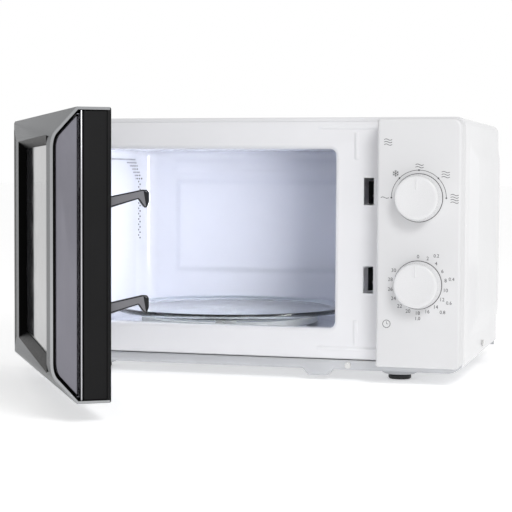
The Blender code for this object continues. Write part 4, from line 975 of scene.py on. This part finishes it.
# %% [markdown]
# The panel's print is a thin layer of ink: arcs, dots, numbers and small signs. Lines are flat ribbons
# along a
# path, a few hundredths of a millimetre proud of the moulding. Angles run clockwise from the top.

# %% Print on the panel
INK = PANEL_FACE - 0.06
ink_points, ink_faces = [], []


def ink_ribbon(path, width):
    """Adds a flat ribbon along a path of (x, z) points: each point moves half the width to each side."""
    path = np.asarray(path, float)
    along = np.gradient(path, axis=0)
    along /= np.maximum(np.linalg.norm(along, axis=1, keepdims=True), 1e-9)
    across = np.stack([-along[:, 1], along[:, 0]], axis=1) * width / 2
    both = np.stack([path + across, path - across], axis=1)
    first = sum(len(points) for points in ink_points)
    ink_points.append(np.insert(both.reshape(-1, 2), 1, INK, axis=1))
    ink_faces.extend((quads(len(path), 2, False, False) + first).tolist())


def clock_point(centre, radius, degrees):
    """A point at an angle clockwise from the top."""
    angle = np.radians(degrees)
    return np.stack([centre[0] + radius * np.sin(angle), centre[1] + radius * np.cos(angle)], axis=-1)


def ink_disc(centre, radius):
    """Adds a filled round dot."""
    first = sum(len(points) for points in ink_points)
    rim = clock_point(centre, radius, np.linspace(0, 360, 20, endpoint=False))
    ink_points.append(np.insert(rim, 1, INK, axis=1))
    ink_faces.append(list(range(first, first + 20)))


def ink_waves(centre, count, width=7.4, step=2.3):
    """Adds a stack of short waves, the sign for a power level."""
    t = np.linspace(-0.5, 0.5, 31)
    for k in range(count):
        height = centre[1] + (k - (count - 1) / 2) * step
        ink_ribbon(np.stack([centre[0] + t * width, height - 0.62 * np.sin(t * 2 * np.pi)], axis=1), 0.5)


def ink_snowflake(centre, size=3.1):
    """Adds a six-armed flake, the sign for defrosting."""
    for degrees in (0, 60, 120):
        arm = clock_point(centre, np.array([-size, size]), degrees)
        ink_ribbon(arm, 0.42)
        for way in (-1, 1):
            tip = clock_point(centre, way * size * 0.5, degrees)
            for lean in (-45, 45):
                ink_ribbon(np.array([tip, clock_point(tip, way * size * 0.45, degrees + lean)]), 0.4)


power_centre, timer_centre = (KNOB_X, POWER_Z), (KNOB_X, TIMER_Z)
DIAL_ARC = 25.4
ink_ribbon(clock_point(power_centre, DIAL_ARC, np.linspace(-90, 90, 80)), 0.45)
for degrees in (-90, -45, 0, 45, 90):
    ink_disc(clock_point(power_centre, DIAL_ARC, degrees), 0.8)
ink_waves(clock_point(power_centre, 31.5, -90), 1)
ink_snowflake(clock_point(power_centre, 31.0, -44))
ink_waves(clock_point(power_centre, 29.2, 1), 2)
ink_waves(clock_point(power_centre, 32.6, 49), 3)
ink_waves(clock_point(power_centre, 33.0, 91), 4)
ink_waves((PANEL_LEFT + 10.2, 226.0), 3)
clock_face = (PANEL_LEFT + 10.2, 58.4)
ink_ribbon(clock_point(clock_face, 3.5, np.linspace(0, 360, 40)), 0.5)
ink_ribbon(np.array([clock_point(clock_face, 2.3, 0), clock_face, clock_point(clock_face, 1.6, 90)]), 0.42)
new_object(
    "panel_print", oven_space(np.concatenate(ink_points)), ink_faces, "print_and_gap_shade_grey", "oven"
)
print("print", len(ink_faces), "faces")

# %% [markdown]
# The numbers are text objects turned into meshes, because the export and the frame need plain meshes at the
# origin. Minutes stand round the timer in even steps, and weights in a second ring outside them.


# %% Numbers
def number(name, text, centre, size):
    """A flat number centred at (x, z) on the panel's face, made a mesh at the origin."""
    curve = bpy.data.curves.new(name, "FONT")
    curve.body = text
    curve.size = size * MM
    curve.align_x = "CENTER"
    curve.align_y = "CENTER"
    curve.resolution_u = 3
    holder = bpy.data.objects.new(name, curve)
    bpy.context.scene.collection.objects.link(holder)
    bpy.context.view_layer.update()
    mesh = bpy.data.meshes.new_from_object(holder.evaluated_get(bpy.context.evaluated_depsgraph_get()))
    bpy.data.objects.remove(holder)
    place = Matrix.Translation(Vector(oven_space((centre[0], INK, centre[1]))))
    mesh.transform(place @ Matrix.Rotation(math.pi / 2, 4, "X"))
    return mesh


def number_ring(name, labels, centre, size):
    """One piece with a number at each (text, angle, distance from the centre)."""
    joined = bmesh.new()
    for text, degrees, radius in labels:
        mesh = number("number", text, clock_point(centre, radius, degrees), size)
        joined.from_mesh(mesh)
        bpy.data.meshes.remove(mesh)
    mesh = bpy.data.meshes.new(name)
    joined.to_mesh(mesh)
    joined.free()
    mesh.materials.clear()
    mesh.materials.append(FINISHES["print_and_gap_shade_grey"])
    made = bpy.data.objects.new(name, mesh)
    bpy.context.scene.collection.objects.link(made)
    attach(made, "oven")
    return made


minutes = [(str(2 * k), 20 * k, 26.0) for k in range(16)]
number_ring("timer_minutes", minutes, timer_centre, 4.7)
weights = [("0.2", 32, 31.8), ("0.4", 79.5, 31.6), ("0.6", 119, 33.0), ("0.8", 137, 33.8), ("1.0", 180, 31.0)]
number_ring("timer_weights", weights, timer_centre, 4.4)

# %% [markdown]
# The tray is pressed glass: a flat base, a shallow step, and a rim that turns up and over. Its profile is a
# closed line of points, smoothed, and turned about the spindle. Three lugs under it sit on the drive coupler.

# %% Glass tray
TRAY_RADIUS = (tray_high[0] - tray_low[0]) / 2
TRAY_TOP = tray_high[2]
TRAY_UNDERSIDE = TRAY_TOP - 7.0


def tray_profile():
    """The upper face from the middle out over the rim, then the lower face back to the middle."""
    r, low = TRAY_RADIUS, TRAY_UNDERSIDE
    over = [
        (r - 24, low + 4.2), (r - 19, low + 4.3), (r - 16, low + 4.9), (r - 11, low + 5.0),
        (r - 7, low + 5.7)
    ]
    rim = [
        (r - 4, low + 6.7), (r - 2.2, low + 7.0), (r - 0.6, low + 6.5), (r, low + 5.4), (r - 0.6, low + 4.4)
    ]
    under = [(r - 3, low + 2.6), (r - 7, low + 1.0), (r - 12, low + 0.1), (r - 16, low), (r - 24, low)]
    shoulder = smooth_path(over + rim + under, 90)
    return np.concatenate([[(0, low + 4.0), (40, low + 4.0)], shoulder, [(40, low), (0, low)]])


tray = piece(
    "glass_tray", turned(tray_profile(), (TRAY_X, TRAY_Y, 0), "Z", 160), "tray_glass", "tray",
    wrap=(False, True), sharp=60
)
tidy_mesh(tray.data)
shade(tray, 60)
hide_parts("turntable")
for k in range(3):
    angle = math.radians(120 * k)
    spot = (TRAY_X + 13.0 * math.cos(angle), TRAY_Y + 13.0 * math.sin(angle), 0)
    low = TRAY_UNDERSIDE
    profile = [
        (0, low - 0.05), (2.9, low - 0.05), (2.6, low - 0.8), (2.4, low - 3.0), (1.8, low - 3.6),
        (0, low - 3.7)
    ]
    lug = piece(
        f"tray_lug_{k + 1}", turned(profile, spot, "Z", 20), "tray_glass", "tray",
        wrap=(False, True)
    )
    tidy_mesh(lug.data)
print("tray radius", round(TRAY_RADIUS, 1), "underside", round(TRAY_UNDERSIDE, 1))

# %% [markdown]
# The rollers are small nylon tyres with a hub and a groove; the ring that carries them is a flat band with a
# raised edge. Rollers are turned about their own axles, which point outwards from the spindle.

# %% Rollers and their ring
ring_joint = (np.array(joints["ring_spin"]["pos_m"]) - ORIGIN) / MM
for k in range(3):
    joint = joints[f"roller_{k + 1}_spin"]
    middle = (np.array(joint["pos_m"]) - ORIGIN) / MM
    axis = np.array(joint["axis"])
    sideways = np.cross([0, 0, 1.0], axis)
    profile = np.array(
        [
            (2.3, -2.6), (4.0, -2.7), (4.4, -2.2), (5.4, -2.2), (5.9, -2.6), (6.3, -1.8), (6.35, 0),
            (6.3, 1.8), (5.9, 2.6), (5.4, 2.2), (4.4, 2.2), (4.0, 2.7), (2.3, 2.6)
        ]
    )
    angle = np.linspace(0, 2 * np.pi, 40, endpoint=False)
    spoke = np.cos(angle)[:, None] * sideways + np.sin(angle)[:, None] * np.array([0, 0, 1.0])
    grid = middle + profile[:, 1][:, None, None] * axis + profile[:, 0][:, None, None] * spoke[None]
    name = f"roller_{k + 1}"
    wheel = piece(name + "_tyre", grid, "white_nylon", name, wrap=(True, True), sharp=50)
    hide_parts(name)
print("rollers on a circle of", round(float(np.hypot(*(middle - ring_joint)[:2])), 1))

# %% [markdown]
# The door's outer shell is a loft. Its section, seen from the free edge, is flat at the top and bottom, then
# bevels and rounds into the front; the bulge grows from the hinge side to the free side. The inner skin is
# the same loft drawn in by the wall, and the two are joined along their edges.

# %% Door shell sizes
DOOR_LEFT, DOOR_FACE = -220.0, -1.0
shell_low, shell_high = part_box("door_shell")
DOOR_BOTTOM, DOOR_TOP = shell_low.z / MM, shell_high.z / MM
DOOR_WIDTH = PANEL_LEFT - 1.8 - DOOR_LEFT
DOOR_INNER = 27.0
DOOR_WALL = 2.2
BULGE_HINGE, BULGE_FREE = 1.5, 21.0
RECESS_LEFT, RECESS_RIGHT = 57.0, DOOR_WIDTH - 29.0
RECESS_LOW, RECESS_HIGH = DOOR_BOTTOM + 21.1, DOOR_TOP - 21.1
RECESS_DEPTH = 7.0
COVER_DEPTH = 21.7


def door_point(u, v, z):
    """A point of the shut door: u from the hinge edge, v forward from the inner face."""
    u, v, z = np.broadcast_arrays(u, v, z)
    return np.stack([DOOR_LEFT + u, DOOR_FACE - v, z], axis=-1)


def bulge(u):
    """The bulge's depth grows in a straight line from the hinge edge to the free edge."""
    return BULGE_HINGE + (BULGE_FREE - BULGE_HINGE) * np.asarray(u, float) / DOOR_WIDTH


def front_at(u, z):
    """The front's distance from the inner face at a place: the section's curve, solved for the height."""
    depth = bulge(u)
    edge = np.minimum(z - DOOR_BOTTOM, DOOR_TOP - z) / depth
    a, b, c = 0.25, 0.42, 0.9 - np.minimum(edge, 1.57)
    t = np.clip((-b + np.sqrt(np.maximum(b * b - 4 * a * c, 0))) / (2 * a), 0, 1)
    share = 0.81 * (1 - t) ** 2 + 2 * t * (1 - t) + t * t
    bevel = 0.9 * edge
    return DOOR_INNER + depth * np.where(edge < 0.9, bevel, share)


print("door", round(DOOR_WIDTH, 1), "wide,", round(DOOR_BOTTOM, 1), "to", round(DOOR_TOP, 1))


# %% [markdown]
# The shell is cut after it is closed: notches for the hinge brackets' tabs, a corner that is round about the
# hinge so that the door can swing, a round front corner, the hinge side's wall, and the window opening.


# %% Door shell
def section(u, back, inset, curve_steps=14, side_steps=6, front_steps=24):
    """Heights and depths round the shell at one distance from the hinge, from the top edge to the bottom
    edge."""
    depth = np.maximum(bulge(u) - 0.6 * inset, 0.3)
    base = DOOR_INNER - 0.4 * inset
    low, high = DOOR_BOTTOM + inset, DOOR_TOP - inset
    t = np.linspace(0, 1, curve_steps + 1)
    v_curve = base + depth * (0.81 * (1 - t) ** 2 + 2 * t * (1 - t) + t * t)
    drop = depth * (0.9 * (1 - t) ** 2 + 2.22 * t * (1 - t) + 1.57 * t * t)
    flat_v = np.linspace(back, base, side_steps, endpoint=False)
    bevel = np.linspace(0, 1, 5, endpoint=False)
    v = np.concatenate([flat_v, base + (v_curve[0] - base) * bevel, v_curve])
    z = np.concatenate([np.full(side_steps, high), high - drop[0] * bevel, high - drop])
    share = np.linspace(0, 1, front_steps)[1:-1]
    middle_z = z[-1] + (low + high - 2 * z[-1]) * share
    heights = np.concatenate([z, middle_z, (low + high - z)[::-1]])
    depths = np.concatenate([v, np.full(len(share), v[-1]), v[::-1]])
    return door_point(u, depths, heights)


def shell_grid(inset, start, end, back):
    """Sections from near the hinge edge to the free edge, closer together at the ends."""
    stations = np.concatenate(
        [np.linspace(start, start + 8, 8, endpoint=False), np.linspace(start + 8, end, 60)]
    )
    return np.array([section(u, back, inset) for u in stations])


outer = shell_grid(0.0, 0.0, DOOR_WIDTH, 1.0)
inner = shell_grid(DOOR_WALL, DOOR_WALL, DOOR_WIDTH, 1.0)
rows, columns = outer.shape[:2]
count = rows * columns
numbers = np.arange(count).reshape(rows, columns)
skin = quads(rows, columns, False, False)
all_faces = skin.tolist() + (skin[:, ::-1] + count).tolist()
for edge in (numbers[-1], numbers[:, 0], numbers[:, -1]):
    pairs = zip(edge[:-1].tolist(), edge[1:].tolist())
    all_faces += [[first, second, second + count, first + count] for first, second in pairs]
all_faces += [list(range(columns)), list(range(count, count + columns))]
all_faces += [[0, columns - 1, count + columns - 1, count]]
shell_points = np.concatenate([outer.reshape(-1, 3), inner.reshape(-1, 3)])
shell = new_object("door_case", door_space(shell_points), all_faces, "door_silver", "door")
tidy_mesh(shell.data)


def recess_ring(depth, grow, steps=12):
    """The recess's rectangle at a depth below the front, leaning in at 45 degrees, with points along its
    sides."""
    left, right = RECESS_LEFT + depth - grow, RECESS_RIGHT - depth + grow
    low, high = RECESS_LOW + depth - grow, RECESS_HIGH - depth + grow
    ring = rounded_rectangle((left, low), (right, high), 1.2, 4, steps)
    return door_point(ring[:, 0], DOOR_INNER + bulge(ring[:, 0]) - depth, ring[:, 1])


def stack_cutter(rings):
    """Closes a stack of rings into a solid for cutting."""
    rings = np.array(rings)
    n = rings.shape[1]
    faces = quads(len(rings), n, False, True).tolist() + [
        list(range(n)), list(range((len(rings) - 1) * n, len(rings) * n))
    ]
    return rings.reshape(-1, 3), faces


notches = []
for name in ("hinge_bracket_upper", "hinge_bracket_lower"):
    low, high = oven_box(name)
    bottom = high[2] - TAB_BELOW_TOP
    notches.append(block((DOOR_LEFT - 5, DOOR_FACE - 19.8, bottom - 1.2), (hinge[0] + 8, 5, bottom + 3.7)))
swing = 12.0
corner_arc = np.concatenate(
    [
        [(DOOR_LEFT - 5, hinge[1] + 22), (hinge[0], hinge[1] + 22)], quarter(hinge[:2], swing, 90, 180, 10),
        [(DOOR_LEFT - 5, hinge[1])]
    ]
)
corner_cut = np.array([np.insert(corner_arc, 2, z, axis=1) for z in (DOOR_BOTTOM - 5, DOOR_TOP + 5)])
front_arc = np.concatenate(
    [
        [(DOOR_LEFT - 1, DOOR_FACE - 40), (DOOR_LEFT + 5, DOOR_FACE - 40)],
        quarter((DOOR_LEFT + 5, DOOR_FACE - 23.6), 5, 270, 180, 8), [(DOOR_LEFT - 1, DOOR_FACE - 23.6)]
    ]
)
front_cut = np.array([np.insert(front_arc, 2, z, axis=1) for z in (DOOR_BOTTOM - 5, DOOR_TOP + 5)])
side_cut = block(
    (DOOR_LEFT - 5, DOOR_FACE - 12.1, DOOR_BOTTOM + DOOR_WALL),
    (DOOR_LEFT + DOOR_WALL + 0.5, 5, DOOR_TOP - DOOR_WALL)
)
opening_cut = stack_cutter([recess_ring(-3.0, 0.0), recess_ring(4.0, 0.0)])
carve(shell, [*notches, stack_cutter(corner_cut), stack_cutter(front_cut), side_cut, opening_cut], door_space)
shade(shell, 28)
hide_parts("door_shell")
print("door shell", len(shell.data.polygons), "faces")

# %% [markdown]
# A surround lines the recess, painted black as the shade that the recess holds: its walls lean in at 45 degrees
# from just under the front to the pane. The
# pane sits behind it, parallel to the front, with its edge covered.

# %% Window surround and pane
surround_rings = [
    recess_ring(0.05, -0.05), recess_ring(0.3, -0.25), recess_ring(RECESS_DEPTH - 0.1, 0.0),
    recess_ring(RECESS_DEPTH, 0.1), recess_ring(RECESS_DEPTH, 2.8), recess_ring(1.8, 2.4),
    recess_ring(1.8, 0.05)
]
# Painted shade: the recess walls are black for the shade inside the recess.
piece(
    "window_surround_painted_shade", np.array(surround_rings), "black_trim_and_recess_shade", "door", door_space,
    wrap=(True, True), sharp=30
)
pane_low, pane_back = recess_ring(RECESS_DEPTH + 0.3, 1.8), recess_ring(RECESS_DEPTH + 0.3, 1.8)
pane_back[:, 1] += 3.0
pane_edge = recess_ring(RECESS_DEPTH + 0.3, 1.5)
pane = piece(
    "window_pane", np.array([pane_edge, pane_low, pane_back]), "pane", "door", door_space,
    wrap=(False, True), caps=(0, -1), sharp=30
)
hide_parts("door_window")

# %% [markdown]
# At the free edge the shell stays open and a glossy grey panel sits inside it behind a groove, whose shade is
# painted on as a near-black plate. Beside it
# runs a silver strip. The panel and that plate of painted shade follow the shell's own section, drawn in, and
# the strip is a straight bar with rounded edges.


# %% Free-edge trim
def section_points(inset, back, u):
    """The shell's section drawn in by an amount and cut off behind, at one distance from the hinge."""
    return section(np.array(u), back, inset, 14, 3, 24)


def inset_plate(name, inset, back, u_low, u_high, finish_name, edge=0.8):
    """A plate with the shell's outline: rings at its back, its rounded rim and its face."""
    stations = [
        (inset, u_low), (inset, u_high - edge), (inset + edge * 0.3, u_high - edge * 0.3),
        (inset + edge, u_high)
    ]
    rings = []
    for drawn_in, u in stations:
        ring = section_points(drawn_in, back + (drawn_in - inset), DOOR_WIDTH)
        ring[:, 0] += u - DOOR_WIDTH
        rings.append(ring)
    return piece(
        name, np.array(rings), finish_name, "door", door_space, wrap=(False, True), caps=(0, -1),
        sharp=30
    )


# Painted shade: a near-black plate behind the grip panel stands for the shade in the groove beside the shell.
inset_plate(
    "end_groove_painted_shade", DOOR_WALL + 0.15, COVER_DEPTH + 3.0, DOOR_WIDTH - 9.5, DOOR_WIDTH - 8.2, "groove_painted_shade_black",
)
grip = inset_plate(
    "end_grip_panel", 5.0, COVER_DEPTH + 4.4, DOOR_WIDTH - 8.0, DOOR_WIDTH - 2.5, "grip_grey",
)
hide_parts("end_grip")


def bar_grid(low, high, edge):
    """A bar along the height with all four long edges rounded: a rounded rectangle in plan, at two
    heights."""
    ring = rounded_rectangle((low[0], low[1]), (high[0], high[1]), edge, 4, 1)
    heights = [low[2], low[2] + edge * 0.3, low[2] + edge, high[2] - edge, high[2] - edge * 0.3, high[2]]
    shrinks = [edge, edge * 0.3, 0, 0, edge * 0.3, edge]
    middle = ring.mean(0)
    size = (np.array(high[:2]) - np.array(low[:2])) / 2
    rows = []
    for height, shrink in zip(heights, shrinks):
        scaled = middle + (ring - middle) * (1 - shrink / size)
        rows.append(np.insert(scaled, 2, height, axis=1))
    return np.array(rows)


side_room = DOOR_WALL + 0.3
strip_low = door_point(DOOR_WIDTH - 6, COVER_DEPTH + 2.3, DOOR_BOTTOM + side_room)
strip_high = door_point(DOOR_WIDTH - 1.2, COVER_DEPTH + 0.9, DOOR_TOP - side_room)
strip = piece(
    "end_trim_strip", bar_grid(strip_low, strip_high, 0.5), "strip_silver", "door",
    door_space, wrap=(False, True), caps=(0, -1)
)
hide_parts("end_strip")

# %% [markdown]
# The black inner moulding has a rim that laps over the shell's back edge. It is a frame: an outer outline the
# size of the door, an inner one inside the wall, and a rounded face. The hinge corner is left out of it.

# %% Rim of the inner moulding
def rim_ring(inset, v):
    """The rim's outline at an inset from the door's edge and a distance forward of the inner face."""
    low = (HINGE_SIDE + inset, DOOR_BOTTOM + 0.1 + inset)
    high = (DOOR_WIDTH - 0.1 - inset, DOOR_TOP - 0.1 - inset)
    ring = rounded_rectangle(low, high, 1.5, 4, 2)
    return door_point(ring[:, 0], v, ring[:, 1])


HINGE_SIDE = 26.0
rim_rings = [
    rim_ring(0.0, 2.9), rim_ring(0.0, 0.8), rim_ring(0.25, 0.25), rim_ring(0.8, 0.0), rim_ring(5.0, 0.0),
    rim_ring(5.0, 2.9)
]
piece(
    "cover_rim", np.array(rim_rings), "matt_black", "door", door_space, wrap=(True, True),
    sharp=50
)

# %% [markdown]
# A black strip is let into the front along the hinge edge and wraps round that edge. It follows the front
# surface, a little proud of it, and both its ends are cut off at a slant.

# %% Strip along the hinge edge
bend = quarter((5.0, 23.6), 5.12, 180, 90, 8)
flat_u = np.linspace(5.4, 26.0, 8)
strip_path = np.concatenate(
    [[(-0.12, 17.5)], bend, np.stack([flat_u, front_at(flat_u, np.full(8, 130.0)) + 0.12], axis=1)]
)
across = np.maximum(strip_path[:, 0], 0)
rise = np.linspace(0, 1, 60)
low_end, high_end = DOOR_BOTTOM + 6.0 + 0.5 * across, DOOR_TOP - 6.0 - 0.5 * across
strip_z = low_end[:, None] + (high_end - low_end)[:, None] * rise
strip_grid = door_point(strip_path[:, :1], strip_path[:, 1:], strip_z)
piece("hinge_edge_strip", strip_grid, "black_trim_and_recess_shade", "door", door_space)

# %% [markdown]
# Pieces whose CAD shape is already right get a copy with merged vertices and rounded edges, because real
# mouldings and pressings have no knife edges, and the rounded edge is what catches the light.


# %% Rounded copies of CAD pieces
def rounded_copy(node_name, finish_name, width, segments=2, angle=35.0):
    """A copy of a CAD node's mesh: doubles merged, flat faces joined, edges rounded."""
    source = frame["nodes"][node_name]
    mesh = source.data.copy()
    mesh.name = node_name + "_part"
    mesh.materials.clear()
    mesh.materials.append(FINISHES[finish_name])
    work = bmesh.new()
    work.from_mesh(mesh)
    bmesh.ops.remove_doubles(work, verts=work.verts, dist=1e-6)
    bmesh.ops.dissolve_limit(work, angle_limit=math.radians(1.0), verts=work.verts, edges=work.edges)
    work.to_mesh(mesh)
    work.free()
    made = bpy.data.objects.new(node_name + "_part", mesh)
    bpy.context.scene.collection.objects.link(made)
    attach(made, source["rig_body"])
    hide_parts(node_name)
    if width:
        soften(made, width, segments, angle)
    shade(made, 30)
    return made


ROUNDED = {
    "latch_hooks": ("hook_grey", "grey_plastic", 0.4),
    "rear_spacer": ("matt_black", "black_plastic", 1.0),
    "choke_cover": ("matt_black", "black_plastic", 0.8),
    "hinge_bracket_upper": ("zinc", "zinc", 0.3),
    "hinge_bracket_lower": ("zinc", "zinc", 0.3),
    "magnetron": ("aluminium", "aluminium", 0.4),
    "transformer_core": ("laminations", "iron", 0.5),
    "transformer_winding": ("copper", "copper", 0.8),
    "hv_capacitor": ("aluminium", "aluminium", 1.5),
    "line_filter": ("matt_black", "black_plastic", 0.5),
    "fan_motor": ("laminations", "iron", 0.5),
    "lamp_holder": ("zinc", "zinc", 0.3),
    "power_switch": ("matt_black", "black_plastic", 0.6),
    "timer_unit": ("ceramic", "ceramic", 0.6),
    "primary_switch": ("matt_black", "black_plastic", 0.4),
    "monitor_switch": ("matt_black", "black_plastic", 0.4),
}
for node_name, (finish_name, slot, width) in ROUNDED.items():
    rounded_copy(node_name, finish_name, width)
print("rounded copies", len(ROUNDED))

# %% [markdown]
# The hooks' edges are chamfered, and their shade is painted on in a near-black finish. A ribbon of painted
# shade runs round each arm's outline on its outer face, and a slanted
# plate of painted shade makes the chamfer at its tip. Both are placed from the latch slots in the front plate.

# %% Painted shade on the hooks' edges
HOOK_X = (SLOT_LEFT + SLOT_RIGHT) / 2 - 0.7
HOOK_REACH = 32.0


def arm_outline(z):
    """The part of an arm that shows: along its top, round the beak and back, as (distance, height) points."""
    reach = HOOK_REACH
    rise = [(-0.2, 8.8), (5.0 - reach, 14.3), (1.5 - reach, 14.1), (0.1 - reach, 12.0), (0.1 - reach, 4.5)]
    beak = [(1.5 - reach, 0.9), (3.0 - reach, 0.1), (4.5 - reach, 1.2), (8.5 - reach, 7.0), (-0.2, 0.4)]
    return np.array(rise + beak) + [0.0, z]


def inset_path(path, distance):
    """The path moved to its left by a distance, point by point."""
    along = np.gradient(path, axis=0)
    along /= np.linalg.norm(along, axis=1, keepdims=True)
    return path + np.stack([-along[:, 1], along[:, 0]], axis=1) * distance


HOOK_LEVELS = [low + 1.4 for low, _ in SLOTS]
for name, level in zip(("lower", "upper"), HOOK_LEVELS):
    corners = arm_outline(level)
    steps = np.linspace(0, len(corners) - 1, 8 * (len(corners) - 1) + 1)
    path = np.stack([np.interp(steps, np.arange(len(corners)), corners[:, k]) for k in (0, 1)], axis=1)
    face = HOOK_X + 2.03
    rows = [(inset_path(path, 0.85), face), (path, face), (path, face - 0.5)]
    grid = np.array(
        [
            np.stack([np.full(len(points), x), -1.0 - points[:, 0], points[:, 1]], axis=1)
            for points, x in rows
        ]
    )
    # Painted shade: a dark ribbon round the arm's outline stands for the shade on its edge.
    piece(f"hook_edge_shade_{name}", grid, "hook_painted_shade", "latch", door_space)
    # Painted shade: a dark plate on the tip's chamfer, where the chamfer turns away from the light.
    tip = np.array(
        [
            (4.6 - HOOK_REACH, 13.6), (0.3 - HOOK_REACH, 11.6), (0.3 - HOOK_REACH, 4.6),
            (2.4 - HOOK_REACH, 0.9)
        ]
    )
    plate_points = np.stack([np.full(4, face + 0.04), -1.0 - tip[:, 0], tip[:, 1] + level], axis=1)
    new_object(
        f"hook_tip_shade_{name}", door_space(plate_points), [(0, 1, 2, 3)], "hook_painted_shade", "latch"
    )

# %% [markdown]
# The base is a pressed pan. Its floor is a height over the plan: flat, with a round boss pushed down
# over each
# foot, and turned up along both sides. The front flange hangs from the front plate down to the pan, and
# its lower
# edge follows the pan, so that the boss at the very front shows as a dip.

# %% Base pan
pan_low, pan_high = oven_box("base_plate")
PAN_FLOOR = frame_low[2] - 0.3 - 8.6
foot_centres = [
    (oven_box(f"foot_{name}")[0][:2] + oven_box(f"foot_{name}")[1][:2]) / 2
    for name in ("front_left", "front_right", "rear_left", "rear_right")
]
BOSSES = [
    (x, y, 14.5, 23.5, PAN_FLOOR - 5.0) for x, y in foot_centres
] + [(81.0, 7.0, 10.0, 16.0, PAN_FLOOR - 5.2)]


def pan_height(x, y):
    """Height of the pan's underside at a place."""
    height = np.full(np.broadcast(x, y).shape, PAN_FLOOR)
    for bx, by, inner, outer, depth in BOSSES:
        height = height - depth * ramp((outer - np.hypot(x - bx, y - by)) / (outer - inner))
    side = np.clip((np.abs(x) - (pan_high[0] - 13.0)) / 13.0, 0, 1)
    return height + 6.5 * side**2


def pan_grid():
    """Columns across the pan with both side flanges, rows from the front to the back."""
    half = pan_high[0]
    x = np.concatenate([np.full(4, -half), np.linspace(-half, half, 220), np.full(4, half)])
    y = np.linspace(2.0, pan_high[1] - 2.0, 140)[:, None]
    z = pan_height(np.broadcast_to(x, (140, len(x))), y)
    flange = np.linspace(pan_high[2], PAN_FLOOR + 8.0, 4)
    z[:, :4], z[:, -4:] = flange, flange[::-1]
    return np.stack(np.broadcast_arrays(x, y, z), axis=-1)


def flange_grid(face, way):
    """An end flange: from its top down to the pan's edge, and rounded back under it."""
    x = np.linspace(-pan_high[0], pan_high[0], 240)
    edge = pan_height(x, face + way * 2.0)
    top = frame_low[2] - 0.3
    turn_under = quarter((2.0, 2.0), 2.0, 180, 270, 5)
    rows = [
        np.stack([x, np.full_like(x, face), top + (edge + 2.0 - top) * t], axis=1)
        for t in np.linspace(0, 1, 5)
    ]
    rows += [
        np.stack([x, np.full_like(x, face + way * out), edge + up], axis=1) for out, up in turn_under[1:]
    ]
    return np.array(rows)


pan = piece("base_pan", pan_grid(), "base_grey", sharp=50)
thicken(pan, 1.0, 1.0, even=False)
for name, face, way, side in (("front", pan_low[1], 1, -1.0), ("rear", pan_high[1], -1, 1.0)):
    flange = piece(f"base_flange_{name}", flange_grid(face, way), "base_grey", sharp=50)
    thicken(flange, 1.0, side, even=False)
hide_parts("base_plate")

# %% [markdown]
# The remaining CAD nodes keep their own meshes and only take a finish.

# %% Finishes on carried-over nodes
KEPT = {
    "rear_plate": "base_grey",
    "foot_front_left": "rubber",
    "foot_front_right": "rubber",
    "foot_rear_left": "rubber",
    "foot_rear_right": "rubber",
    "cord_gland": "matt_black",
    "base_screw": "zinc",
    "side_screw_left": "zinc",
    "side_screw_right": "zinc",
    "power_shaft": "zinc",
    "timer_shaft": "zinc",
    "waveguide": "aluminium",
    "waveguide_cover": "mica",
    "capacitor_clamp": "zinc",
    "fan_duct": "white_nylon",
    "fan_blade": "white_nylon",
    "cavity_lamp": "lamp_glass",
    "thermal_cutout": "ceramic",
    "turntable_motor": "zinc",
    "drive_coupler": "white_nylon",
    "roller_ring": "white_nylon",
    "latch_board": "white_nylon",
    "primary_plunger": "hook_grey",
    "monitor_plunger": "hook_grey",
    "door_hinge_upper": "zinc",
    "door_hinge_lower": "zinc",
    "door_screen": "enamel",
    "latch_spring": "zinc",
}
for node_name, finish_name in KEPT.items():
    data = frame["nodes"][node_name].data
    data.materials.clear()
    data.materials.append(FINISHES[finish_name])
print("finished nodes", len(KEPT))
